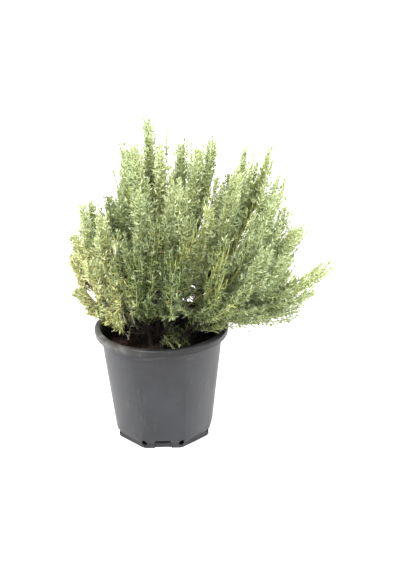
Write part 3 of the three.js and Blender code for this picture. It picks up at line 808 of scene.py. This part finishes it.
def dress(builder, rng, points, length, bare, radii, look, vigour, wooden, shoots):
    """Bark or skin, leaf whorls and side shoots along one line of points."""
    tone, youth = look["tone"], look["youth"]
    n = len(points)
    share = np.linspace(0, 1, n)
    thick = np.interp(share, [0, TAPER_SHARE, 1], [radii[0], radii[0] * TAPER, radii[1]])
    # Where the leaves have dropped off the stem is woody and not bleached. Near the soil it is also kept dark
    # and unbleached, as painted shade from the pot and the bush.
    shaded = in_pot(points, builder.clear)
    wood = np.clip((LEADER_WOOD if wooden else SHOOT_WOOD) - WOOD_FADE * share, 0, 1)
    wood = np.maximum(wood, shaded | (share < bare))
    pale = PALE_SHARE * dryness(points) * ease(*PALE_FROM, share) * (share > bare) * ~shaded
    tube(builder, points, thick, sides=6 if wooden else 5, wood=wood, tone=pale)
    data = (points, *frames_along(points))
    arcs = np.arange(length * bare, length - TUFT_LENGTH, WHORL_GAP)
    if len(arcs) < 2:
        return
    to_tip = length - arcs
    leafy = {"tone": tone, "size": np.interp(to_tip, *LEAF_SIZES), "young": np.interp(to_tip, *YOUTH) * youth,
             "curl": np.interp(to_tip, *CURLS), "spread": np.interp(to_tip, *SPREADS)}
    whorls(builder, rng, data, arcs / length * (n - 1), pairs=3 if wooden else 2, look=leafy,
           brown=LEADER_BROWN, kind="big" if wooden else "small")
    # The growing point: a tight tuft.
    tuft = {"tone": tone, "size": TUFT_SIZES, "young": TUFT_YOUTH * youth, "curl": 0.05, "spread": 0.6}
    whorls(builder, rng, data, n - TUFT_MARKS, pairs=3, look=tuft)
    side_shoots(builder, rng, data, length, max(LOWEST_SHOOT, bare - SHOOTS_BELOW), look, vigour, shoots)


def side_shoots(builder, rng, data, length, bare, look, vigour, shoots):
    """Pairs of short leafy shoots up a line, each pair turned from the last."""
    points, along, side, other = data
    last = SHOOT_STEPS - 1
    arc = length * bare
    turn = rng.uniform(0, math.pi)
    while arc < length - SHOOTLESS_TIP:
        i = int(arc / length * (len(points) - 1))
        gap = length - arc
        for half in (0, 1):
            if rng.uniform() < MISSING_SHOOTS:
                continue
            angle = turn + half * math.pi + rng.normal(0, SHOOT_WOBBLE)
            outward = math.cos(angle) * side[i] + math.sin(angle) * other[i]
            opening = rng.uniform(*SHOOT_OPENINGS)
            direction = outward * math.sin(opening) + along[i] * math.cos(opening)
            reach = min(SHORT_SHOOT + SHOOT_GROWTH * gap, LONG_SHOOT * shoots)
            reach = reach * rng.uniform(*SHOOT_LENGTHS) * (0.6 + 0.4 * vigour)
            line = shoot_line(rng, points[i], direction, along[i] * 0.6 + UP * 0.4, reach, SHOOT_STEPS)
            if in_pot(line[-2:], builder.clear).any():
                continue
            wood = np.full(SHOOT_STEPS, max(0.0, WOODY_SHARE - arc / length))
            radii = np.linspace(*SHOOT_RADII, SHOOT_STEPS)
            tube(builder, line, radii, sides=3, wood=wood, tone=PALE_SHARE * dryness(line))
            marks = np.linspace(0.8, last - 0.12, max(2, int(reach / SHOOT_WHORL_GAP)))
            rel = marks / last
            fresh = (np.interp(gap, *SHOOT_YOUTH) + 0.3 * rel ** 2) * look["youth"]
            leafy = {"tone": look["tone"], "size": np.interp(rel, *SHOOT_LEAF_SIZES), "young": fresh,
                     "curl": 0.05, "spread": 0.95}
            brown = SHOOT_BROWN + OLD_SHOOT_BROWN * (gap > OLD_SHOOT)
            whorls(builder, rng, (line, *frames_along(line)), marks, pairs=2, look=leafy, brown=brown)
        turn += math.pi / 2
        arc += SHOOT_GAP / vigour ** 0.5


def thin_stem(builder, rng, places, leafy_from, pale, shoots):
    """A thin woody stem through the places given, in leaf from a share of its run."""
    places = np.array(places, float)
    t = np.linspace(0, len(places) - 1, THIN_STEPS)
    line = np.stack([np.interp(t, np.arange(len(places)), places[:, k]) for k in range(3)], axis=1)
    for _ in range(THIN_SMOOTHING):
        line[1:-1] = (line[:-2] + 2 * line[1:-1] + line[2:]) / 4
    line += rng.normal(0, THIN_WOBBLE, line.shape)
    run = run_length(line)
    first = int(leafy_from * (THIN_STEPS - 1)) + 1
    # Painted shade: near the soil the thin stem's bark stays dark and unbleached.
    if pale < 1:
        pale = pale * ~in_pot(line[:first], CLEAR_SOIL)
    radii = np.linspace(*THIN_RADII, first)
    tube(builder, line[:first], radii, sides=5, wood=np.full(first, THIN_WOOD), tone=pale)
    rest = line[first - 1:]
    if len(rest) > FEWEST_LEAFY:
        builder.clear = CLEAR_SPRIG
        look = {"tone": LEAF_TONE, "youth": THIN_YOUTH}
        dress(builder, rng, rest, run * (1 - leafy_from), THIN_BARE, THIN_LEAFY_RADII, look,
              vigour=0.85, wooden=False, shoots=shoots)


# Materials.


class Paint:
    """A material under construction. Each method adds a node and gives back its output."""

    def __init__(self, name):
        self.material = bpy.data.materials.new(name)
        self.material.use_nodes = True
        self.tree = self.material.node_tree
        self.tree.nodes.clear()
        self.place = self.node("ShaderNodeTexCoord", {}).outputs["Object"]

    def node(self, kind, inputs, **settings):
        """Each input, given by its name or number, is an output to link or a value to set."""
        made = self.tree.nodes.new(kind)
        for key, value in settings.items():
            setattr(made, key, value)
        for key, value in inputs.items():
            if isinstance(value, bpy.types.NodeSocket):
                self.tree.links.new(value, made.inputs[key])
            else:
                made.inputs[key].default_value = value
        return made

    def attribute(self, name):
        return self.node("ShaderNodeAttribute", {}, attribute_name=name).outputs["Fac"]

    def axis(self, name):
        return self.node("ShaderNodeSeparateXYZ", {"Vector": self.place}).outputs[name]

    def noise(self, scale, detail, roughness=0.5, stretch=None):
        """Noise over the object, drawn out by a scale for each axis if stretch is given."""
        place = self.place
        if stretch:
            place = self.node("ShaderNodeMapping", {"Vector": place, "Scale": stretch}).outputs["Vector"]
        inputs = {"Vector": place, "Scale": scale, "Detail": detail, "Roughness": roughness}
        return self.node("ShaderNodeTexNoise", inputs).outputs["Fac"]

    def ramp(self, value, stops):
        made = self.node("ShaderNodeValToRGB", {"Fac": value})
        elements = made.color_ramp.elements
        while len(elements) < len(stops):
            elements.new(0.5)
        for element, (position, colour) in zip(elements, stops):
            element.position = position
            element.color = (*colour, 1)
        return made.outputs["Color"]

    def spread(self, value, start, end, low=0.0, high=1.0):
        """Takes a value that runs from start to end to one that runs from low to high."""
        inputs = {"Value": value, "From Min": start, "From Max": end, "To Min": low, "To Max": high}
        return self.node("ShaderNodeMapRange", inputs).outputs["Result"]

    def math(self, operation, *values, clamp=False):
        inputs = dict(enumerate(values))
        return self.node("ShaderNodeMath", inputs, operation=operation, use_clamp=clamp).outputs["Value"]

    def mix(self, share, first, second, blend="MIX"):
        inputs = {"Factor": share, "A": first, "B": second}
        return self.node("ShaderNodeMix", inputs, data_type="RGBA", blend_type=blend).outputs["Result"]

    def tint(self, colour, by):
        return self.mix(1.0, colour, by, "MULTIPLY")

    def bump(self, height, strength, distance, **more):
        inputs = {"Height": height, "Strength": strength, "Distance": distance, **more}
        return self.node("ShaderNodeBump", inputs).outputs["Normal"]

    def skin(self, colour, roughness, specular=0.5, **more):
        inputs = {"Base Color": colour, "Roughness": roughness, "Specular IOR Level": specular, **more}
        return self.node("ShaderNodeBsdfPrincipled", inputs).outputs["BSDF"]

    def finish(self, shader):
        self.node("ShaderNodeOutputMaterial", {"Surface": shader})
        return self.material


def leaf_material():
    paint = Paint("thyme_leaf")
    tone = paint.attribute("tone")
    old = paint.ramp(tone, [
        (0.0, (0.014, 0.030, 0.009)), (0.32, (0.052, 0.086, 0.017)), (0.6, (0.20, 0.235, 0.054)),
        (0.82, (0.42, 0.42, 0.11)), (1.0, (0.54, 0.48, 0.18)),
    ])
    young = paint.ramp(tone, [
        (0.0, (0.43, 0.52, 0.30)), (0.35, (0.65, 0.72, 0.46)), (0.7, (0.73, 0.74, 0.38)),
        (1.0, (0.74, 0.68, 0.34)),
    ])
    colour = paint.mix(paint.attribute("young"), old, young)
    # A few leaves are dead and brown.
    dead_brown = (0.24, 0.15, 0.075, 1)
    colour = paint.mix(paint.attribute("wood"), colour, dead_brown)
    mottle = paint.noise(scale=900.0, detail=2.0)
    colour = paint.tint(colour, paint.spread(mottle, 0, 1, low=0.75, high=1.25))
    # The underside is paler and greyer, felted with short hairs.
    felt = (0.31, 0.37, 0.15, 1)
    felt_share = 0.12
    underside = paint.node("ShaderNodeNewGeometry", {}).outputs["Backfacing"]
    colour = paint.mix(paint.math("MULTIPLY", underside, felt_share), colour, felt)
    relief = paint.bump(mottle, strength=0.35, distance=0.0003)
    skin = paint.skin(colour, roughness=0.62, specular=0.16, Normal=relief)
    # Light that comes through a leaf is warmer.
    warmth = (1.25, 1.3, 0.7, 1)
    glow_share = 0.15
    glow = paint.node("ShaderNodeBsdfTranslucent", {"Color": paint.tint(colour, warmth)}).outputs["BSDF"]
    both = paint.node("ShaderNodeMixShader", {0: glow_share, 1: skin, 2: glow}).outputs["Shader"]
    return paint.finish(both)


def stem_material(name, dull_straw, bright_straw):
    paint = Paint(name)
    grain = paint.noise(scale=1.0, detail=4.0, stretch=(900, 900, 130))
    bark = paint.ramp(grain, [
        (0.25, (0.008, 0.006, 0.005)), (0.5, (0.022, 0.016, 0.012)), (0.8, (0.07, 0.055, 0.042)),
    ])
    green = paint.ramp(grain, [(0.3, (0.21, 0.24, 0.065)), (0.75, (0.39, 0.42, 0.15))])
    colour = paint.mix(paint.attribute("wood"), green, bark)
    # Dry thin stems are bleached to a pale straw grey.
    straw = paint.ramp(grain, [(0.3, dull_straw), (0.75, bright_straw)])
    colour = paint.mix(paint.attribute("tone"), colour, straw)
    relief = paint.bump(grain, strength=0.6, distance=0.0005)
    return paint.finish(paint.skin(colour, roughness=0.75, Normal=relief))


def pot_material():
    """Black plastic, with a painted sheen on the rim's left and painted shade on the rim band. The heights
    and places that bound the dust, the sheen and the shade are in metres.
    """
    paint = Paint("nursery_plastic")
    x, z = paint.axis("X"), paint.axis("Z")
    rim_foot = 0.1115
    # Broad unevenness of the moulding.
    cloud = paint.noise(scale=28.0, detail=3.0)
    body = paint.ramp(cloud, [(0.3, (0.017, 0.017, 0.018)), (0.7, (0.028, 0.029, 0.034))])
    # Upright scuffs and dust streaks, stretched along the wall.
    streak = paint.noise(scale=1.0, detail=5.0, roughness=0.65, stretch=(160, 160, 14))
    streaks = paint.spread(streak, 0.6, 0.78, high=0.12)
    # Dust lies on the rim in patches. The rim's left side also gets a painted sheen, a glancing highlight
    # painted into its colour.
    rim = paint.spread(z, rim_foot, 0.1155, high=0.6)
    left = paint.spread(x, -0.01, -0.064, low=0.03)
    patches = paint.spread(paint.noise(scale=70.0, detail=4.0), 0.42, 0.68, low=0.3)
    rim_dust_and_sheen = paint.math("MULTIPLY", paint.math("MULTIPLY", rim, left), patches)
    # Fine level scratches around the rim and just below it.
    scratch = paint.noise(scale=1.0, detail=3.0, roughness=0.6, stretch=(45, 45, 420))
    near_rim = paint.spread(z, 0.085, 0.114, low=0.015, high=0.11)
    wear_and_sheen = paint.math("MULTIPLY_ADD", paint.spread(scratch, 0.58, 0.72), near_rim, rim_dust_and_sheen)
    dust_with_sheen = paint.math("ADD", wear_and_sheen, streaks, clamp=True)
    # Painted shade: the rim band is darkened below the wall's tone, for the shade that the foliage above
    # casts on it.
    rim_painted_shade = paint.spread(z, rim_foot, 0.1135, low=1.0, high=0.3)
    # Dust, scuffs and the painted sheen on the rim's left all take this pale colour.
    sheen_and_dust_colour = (0.30, 0.285, 0.26, 1)
    colour = paint.mix(dust_with_sheen, paint.tint(body, rim_painted_shade), sheen_and_dust_colour)
    waves = paint.bump(cloud, strength=0.35, distance=0.002)
    relief = paint.bump(paint.noise(scale=420.0, detail=3.0), strength=0.25, distance=0.0004, Normal=waves)
    rough = paint.spread(cloud, 0, 1, low=0.34, high=0.55)
    return paint.finish(paint.skin(colour, roughness=rough, specular=0.27, Normal=relief))


def soil_material():
    paint = Paint("peat")
    grain = paint.noise(scale=600.0, detail=6.0, roughness=0.7)
    dark = paint.ramp(grain, [
        (0.3, (0.005, 0.0045, 0.004)), (0.6, (0.018, 0.014, 0.012)), (0.85, (0.055, 0.040, 0.031)),
    ])
    red = paint.ramp(grain, [(0.3, (0.018, 0.008, 0.006)), (0.8, (0.09, 0.042, 0.032))])
    patch = paint.noise(scale=45.0, detail=3.0)
    colour = paint.mix(paint.math("MULTIPLY", patch, paint.attribute("tone")), dark, red)
    # Painted shade: the peat is darkened to nearly black low in the pot, where it shows behind the slot.
    colour = paint.tint(colour, paint.spread(paint.axis("Z"), 0.02, 0.09, low=0.1))
    relief = paint.bump(grain, strength=1.0, distance=0.0012)
    return paint.finish(paint.skin(colour, roughness=0.92, specular=0.2, Normal=relief))


def floor_material():
    paint = Paint("studio_floor")
    return paint.finish(paint.skin((0.93, 0.93, 0.93, 1), roughness=0.9))


# Pot and soil.


def outer_radius(z):
    return BASE_RADIUS + (WALL_TOP_RADIUS - BASE_RADIUS) * z / WALL_TOP_Z


def inner_radius(z):
    return outer_radius(z) - WALL


def rounded(profile):
    """An outline with its corners rounded."""
    out = [profile[0]]
    for before, here, after in zip(profile, profile[1:], profile[2:]):
        b, h, a = (np.array(p, float) for p in (before, here, after))
        lb, la = np.linalg.norm(b - h), np.linalg.norm(a - h)
        c = min(CORNER_CUT, lb * 0.45, la * 0.45)
        p0, p2 = h + (b - h) / lb * c, h + (a - h) / la * c
        for s in np.linspace(0, 1, CORNER_STEPS + 1):
            out.append(tuple((1 - s) ** 2 * p0 + 2 * s * (1 - s) * h + s * s * p2))
    out.append(profile[-1])
    return out


def lathe(name, profile, sides):
    """A closed turned mesh from a half outline that starts and ends on the axis."""
    verts = []
    for radius, z in profile[1:-1]:
        for k in range(sides):
            a = 2 * math.pi * k / sides
            verts.append((radius * math.cos(a) * MM, radius * math.sin(a) * MM, z * MM))
    rows = len(profile) - 2
    faces = ring_faces(rows, sides)
    low, high = len(verts), len(verts) + 1
    verts += [(0, 0, profile[0][1] * MM), (0, 0, profile[-1][1] * MM)]
    for k in range(sides):
        n = (k + 1) % sides
        faces.append((low, n, k))
        faces.append((high, (rows - 1) * sides + k, (rows - 1) * sides + n))
    mesh = bpy.data.meshes.new(name)
    mesh.from_pydata(verts, [], faces)
    return add_object(name, mesh)


def prism_tool(low, high):
    """A block between two four-sided faces, given as corners in the same order."""
    tool = bmesh.new()
    corners = [tool.verts.new(Vector(c) * MM) for c in low + high]
    for face in ((3, 2, 1, 0), (4, 5, 6, 7), (0, 1, 5, 4), (1, 2, 6, 5), (2, 3, 7, 6), (3, 0, 4, 7)):
        tool.faces.new([corners[i] for i in face])
    bmesh.ops.recalc_face_normals(tool, faces=tool.faces)
    return tool


def level(left, right, front, back, z):
    """The corners of a level rectangle."""
    return [(left, front, z), (right, front, z), (right, back, z), (left, back, z)]


def foot_object():
    """The eight-sided foot: upright at first, then leaning outwards to meet the round wall."""
    top = POT_HEIGHT + OVERSHOOT
    spread = math.tan(FOOT_LEAN) / math.cos(math.pi / FOOT_SIDES)
    top_radius = FOOT_RADIUS + (top - FOOT_HEIGHT) * spread
    outline = [(0, -OVERSHOOT), (FOOT_RADIUS, -OVERSHOOT), (FOOT_RADIUS, FOOT_HEIGHT)]
    outline += [(top_radius, top), (0, top)]
    foot = lathe("tool", outline, FOOT_SIDES)
    # The turned mesh starts with a corner on one axis; the foot has flat faces there.
    foot.data.transform(Matrix.Rotation(math.pi / FOOT_SIDES, 4, "Z"))
    return foot


def front_cut(foot, top, back):
    """A cut through the wall at the front. Foot and top are its left and right sides there."""
    front = -SLOT_BACK - SLOT_DEPTH
    return prism_tool(level(*foot, front, back, -OVERSHOOT), level(*top, front, back, SLOT_HEIGHT))


def slot_tool():
    wide, narrow = SLOT_FOOT_WIDTH / 2, SLOT_TOP_WIDTH / 2
    return front_cut((-wide, wide), (-narrow, narrow), -SLOT_BACK)


def groove_tool(side):
    """A thin upright cut between the slot's edge and the plate behind it."""
    low, high, width = side * SLOT_FOOT_WIDTH / 2, side * SLOT_TOP_WIDTH / 2, side * GROOVE
    return front_cut((low - width, low), (high - width, high), -SLOT_BACK + GROOVE_REACH)


def hole_tool(corner):
    """A drill through one corner of the foot."""
    drill = bmesh.new()
    radius = HOLE_RADIUS * MM
    bmesh.ops.create_cone(drill, cap_ends=True, segments=HOLE_SIDES, radius1=radius, radius2=radius,
                          depth=HOLE_DEPTH * MM)
    turn = Matrix.Rotation((corner + 0.5) * 2 * math.pi / FOOT_SIDES, 4, "Z")
    turn = turn @ Matrix.Translation((0, -BASE_RADIUS * MM, 0)) @ Matrix.Rotation(math.pi / 2, 4, "X")
    bmesh.ops.transform(drill, matrix=Matrix.Translation((0, 0, HOLE_Z * MM)) @ turn, verts=drill.verts)
    return drill


def tool_object(tool):
    mesh = bpy.data.meshes.new("tool")
    tool.to_mesh(mesh)
    tool.free()
    return add_object("tool", mesh)


def combine(obj, tool, operation):
    change = obj.modifiers.new("cut", "BOOLEAN")
    change.operation = operation
    change.solver = "EXACT"
    change.object = tool
    bpy.context.view_layer.update()
    depsgraph = bpy.context.evaluated_depsgraph_get()
    mesh = bpy.data.meshes.new_from_object(obj.evaluated_get(depsgraph))
    obj.modifiers.clear()
    old = obj.data
    obj.data = mesh
    bpy.data.meshes.remove(old)
    used = tool.data
    bpy.data.objects.remove(tool)
    bpy.data.meshes.remove(used)


def smooth_by_angle(obj, angle):
    work = bmesh.new()
    work.from_mesh(obj.data)
    for face in work.faces:
        face.smooth = True
    for edge in work.edges:
        if len(edge.link_faces) == 2 and edge.calc_face_angle() > angle:
            edge.smooth = False
    work.to_mesh(obj.data)
    work.free()


def rim_roll():
    """Half a turn of the rim's rolled top, from its outer side over to its inner side."""
    inner = WALL_TOP_RADIUS - ROLL_INSET
    centre, half = (RIM_RADIUS + inner) / 2, (RIM_RADIUS - inner) / 2
    angles = [math.pi * i / ROLL_STEPS for i in range(ROLL_STEPS + 1)]
    return [(centre + half * math.cos(a), POT_HEIGHT - ROLL_DROP * (1 - math.sin(a))) for a in angles]


def make_pot():
    band_foot = POT_HEIGHT - RIM_BAND
    throat = WALL_TOP_Z - THROAT
    profile = [
        (0, 0), (BASE_RADIUS, 0), (WALL_TOP_RADIUS, WALL_TOP_Z),
        (RIM_RADIUS - LIP - RIM_DRAFT, WALL_TOP_Z), (RIM_RADIUS - LIP - RIM_DRAFT, band_foot),
        (RIM_RADIUS - RIM_DRAFT, band_foot), *rim_roll(),
        (inner_radius(throat), throat), (inner_radius(CORNER_Z), CORNER_Z),
        (FLOOR_RADIUS, FOOT_HEIGHT), (FLOOR_RADIUS, FLOOR), (0, FLOOR),
    ]
    pot = lathe("pot_shell", rounded(profile), POT_SIDES)
    combine(pot, foot_object(), "INTERSECT")
    combine(pot, tool_object(slot_tool()), "DIFFERENCE")
    half = SLOT_FOOT_WIDTH / 2 + PLATE_MARGIN
    sides = (-half, half, -PLATE_FRONT, -PLATE_FRONT + PLATE_DEPTH)
    plate = prism_tool(level(*sides, FLOOR - PLATE_ROOT), level(*sides, PLATE_HEIGHT))
    combine(pot, tool_object(plate), "UNION")
    for side in (-1, 1):
        combine(pot, tool_object(groove_tool(side)), "DIFFERENCE")
    for corner in range(FOOT_SIDES):
        combine(pot, tool_object(hole_tool(corner)), "DIFFERENCE")
    smooth_by_angle(pot, SHARP_EDGE)
    pot.data.materials.append(pot_material())
    return pot


SOIL_WALL = [
    (SOIL_SHOULDER, inner_radius(SOIL_SHOULDER) - SOIL_GAP),
    (CORNER_Z, inner_radius(CORNER_Z) - SOIL_GAP),
    (FLOOR + 0.3, FLOOR_RADIUS - SOIL_GAP),
]


def soil_height(x, y):
    """The smooth top of the peat: level with shallow mounds made of waves, lower near the wall."""
    radius = math.hypot(x, y)
    mounds = math.sin(x * 0.13 + 1.1) * math.cos(y * 0.11 - 0.6) + 0.6 * math.sin(x * 0.31 - y * 0.27)
    return SOIL_LEVEL + MOUND_HEIGHT * mounds - EDGE_FALL * max(0.0, radius / 60 - 0.75)


def soil_ring(radius, turned):
    """The corners of one ring of the soil's mesh. Every other ring is turned by half a step."""
    places = []
    for k in range(SOIL_SIDES):
        a = 2 * math.pi * (k + 0.5 * turned) / SOIL_SIDES
        places.append((radius * math.cos(a), radius * math.sin(a)))
    return places


def soil_body(builder):
    """A rough top, redder at the left, and plain sides that the pot hides."""
    verts, red = [], []
    for i in range(SOIL_RINGS + 1):
        for x, y in soil_ring(SOIL_EDGE * i / SOIL_RINGS, i % 2):
            rough = noise.fractal(Vector((x, y, 3.0)) * 0.16, 1.0, 2.2, 4) * CLOD_HEIGHT
            rough += noise.noise(Vector((x, y, 9.0)) * 0.9) * GRAIN_HEIGHT
            verts.append((x, y, soil_height(x, y) + rough))
            red.append(np.clip((-x - 0.3 * y) / 50 + 0.35, 0.05, 1))
    for z, radius in SOIL_WALL:
        verts += [(x, y, z) for x, y in soil_ring(radius, SOIL_RINGS % 2)]
        red += [0.3] * SOIL_SIDES
    rings = ring_faces(SOIL_RINGS + 1 + len(SOIL_WALL), SOIL_SIDES)
    faces = [(a, d, c, b) for a, b, c, d in rings]
    faces.append(tuple(range(len(verts) - SOIL_SIDES, len(verts)))[::-1])
    builder.add(np.array(verts, float), faces, tone=np.array(red), wood=0.0)


def scatter(rng, reach):
    """A random place on the soil within the reach of its middle."""
    r, a = reach * math.sqrt(rng.uniform()), rng.uniform(0, 2 * math.pi)
    return r * math.cos(a), r * math.sin(a)


def crumb(builder, rng):
    """A small rough lump."""
    x, y = scatter(rng, CRUMB_REACH)
    size = rng.uniform(*SMALL_CRUMB) if rng.uniform() < SMALL_CRUMB_SHARE else rng.uniform(*LARGE_CRUMB)
    rough = rng.uniform(0.6, 1.2, (6, 1))
    squash = np.array([1, rng.uniform(0.5, 1), rng.uniform(0.4, 0.8)])
    spin = Matrix.Rotation(rng.uniform(0, 6.3), 3, "Z") @ Matrix.Rotation(rng.uniform(-0.6, 0.6), 3, "X")
    place = (x, y, soil_height(x, y) + rng.uniform(-0.3, 0.9))
    tone = np.clip((-x - 0.3 * y) / 45 + 0.3 + rng.normal(0, 0.25), 0, 1.6)
    lump = LUMP * rough * size * squash @ np.array(spin).T + place
    builder.add(lump, LUMP_FACES, tone=tone, wood=0.0)


def fibre(builder, rng):
    """A thin bent stick that lies on the soil."""
    x, y = scatter(rng, FIBRE_REACH)
    line = [np.array([x, y, soil_height(x, y) + rng.uniform(0.2, 1.4)])]
    heading = rng.uniform(0, 2 * math.pi)
    for _ in range(FIBRE_STEPS):
        heading += rng.normal(0, 0.5)
        rise = rng.normal(0, 0.25)
        step = rng.uniform(*FIBRE_STEP)
        line.append(line[-1] + step * np.array([math.cos(heading), math.sin(heading), rise]))
    line = np.array(line)
    if np.hypot(line[:, 0], line[:, 1]).max() > FIBRE_LIMIT:
        return
    tone = np.clip(-x / 40 + 0.6 + rng.normal(0, 0.3), 0.2, 2.0)
    radii = np.full(FIBRE_STEPS + 1, rng.uniform(*FIBRE_RADIUS))
    tube(builder, line, radii, sides=4, wood=np.zeros(FIBRE_STEPS + 1), tone=tone)


def make_soil(rng):
    """The peat with its crumbs and fibres."""
    builder = Builder()
    soil_body(builder)
    for _ in range(CRUMBS):
        crumb(builder, rng)
    for _ in range(FIBRES):
        fibre(builder, rng)
    return builder.make("peat_soil", [soil_material()])


def make_twig(rng):
    """A bare stub that forks into a short and a long end."""
    builder = Builder()
    stub = np.array([TWIG_FOOT, (TWIG_FOOT + TWIG_FORK) / 2, TWIG_FORK])
    tube(builder, stub, STUB_RADII, sides=8, wood=np.full(3, TWIG_WOOD), tone=1.0)
    for end in TWIG_ENDS:
        t = np.linspace(0, 1, TWIG_STEPS)[:, None]
        line = TWIG_FORK - UP + (end - TWIG_FORK + UP) * t
        line[1:-1] += rng.normal(0, TWIG_CROOKEDNESS, (TWIG_STEPS - 2, 3))
        radii = np.linspace(*TWIG_RADII, TWIG_STEPS)
        tube(builder, line, radii, sides=7, wood=np.full(TWIG_STEPS, TWIG_WOOD), tone=1.0)
    return builder


# Assembly.

leaf = leaf_material()
stem = stem_material("thyme_stem", (0.22, 0.18, 0.11), (0.56, 0.50, 0.34))
bleached_wood = stem_material("bleached_wood", (0.50, 0.44, 0.33), (0.86, 0.82, 0.70))
rng = np.random.default_rng(FOLIAGE_SEED)
thin_rng = np.random.default_rng(THIN_SEED)

pot = make_pot()
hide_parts("pot")
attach(pot, "root")

soil = make_soil(rng)
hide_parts("soil")
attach(soil, "root")

twig = make_twig(rng).make("forked_twig", [bleached_wood])
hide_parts("bare_twig")
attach(twig, "root")

for name, plant in grow_plants().items():
    builder = grow_stem(plant, rng)
    for carrier, leafy_from, pale, shoots, lines in THIN_STEMS:
        for places in lines if carrier == plant["number"] else []:
            thin_stem(builder, thin_rng, places, leafy_from, pale, shoots)
    piece = builder.make("leafy_" + name, [stem, leaf])
    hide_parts(name)
    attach(piece, "root")

# Studio.

FLOOR_REACH = 20
floor_mesh = bpy.data.meshes.new("floor")
floor_mesh.from_pydata(level(-FLOOR_REACH, FLOOR_REACH, -FLOOR_REACH, FLOOR_REACH, 0), [], [(0, 1, 2, 3)])
floor_mesh.materials.append(floor_material())
floor = add_object("floor", floor_mesh)

world = bpy.data.worlds.new("studio")
world.use_nodes = True
world.node_tree.nodes["Background"].inputs["Color"].default_value = (1, 1, 1, 1)
world.node_tree.nodes["Background"].inputs["Strength"].default_value = 1.15
bpy.context.scene.world = world
bpy.context.scene.view_settings.view_transform = "Standard"


def soft_sun(name, towards, spread, strength):
    """Even soft light that arrives from the direction given."""
    data = bpy.data.lights.new(name, "SUN")
    data.angle = math.radians(spread)
    data.energy = strength
    light = add_object(name, data)
    light.rotation_mode = "QUATERNION"
    light.rotation_quaternion = Vector(towards).to_track_quat("Z", "Y")


soft_sun("key", towards=(-0.5, -0.75, 1.1), spread=12, strength=4.4)
soft_sun("fill", towards=(0.8, -0.6, 1.0), spread=25, strength=1.7)
soft_sun("back", towards=(0.3, 0.9, 1.0), spread=25, strength=1.8)

# The camera, from the pot's rim, wall and base in the photograph.
PHOTO_SIZE = (400, 570)
FOCAL_PIXELS = 972.3
SENSOR_WIDTH = 36
DISTANCE = 1.0
ELEVATION = math.radians(20.62)
ROLL = math.radians(-0.8)
AIM = Vector((0.04069, 0, 0.16311))
back = Vector((0, -math.cos(ELEVATION), math.sin(ELEVATION)))
right = Vector((1, 0, 0))
up = back.cross(right)
turned_right = right * math.cos(ROLL) + up * math.sin(ROLL)
turned_up = up * math.cos(ROLL) - right * math.sin(ROLL)
camera_data = bpy.data.cameras.new("camera")
camera_data.sensor_width = SENSOR_WIDTH
camera_data.lens = FOCAL_PIXELS / max(PHOTO_SIZE) * SENSOR_WIDTH
camera_data.clip_start, camera_data.clip_end = 0.01, 20
camera = add_object("camera", camera_data)
camera.rotation_mode = "QUATERNION"
turned = Matrix((turned_right, turned_up, back)).transposed()
camera.rotation_quaternion = turned.to_quaternion()
camera.location = AIM + back * DISTANCE
bpy.context.scene.camera = camera
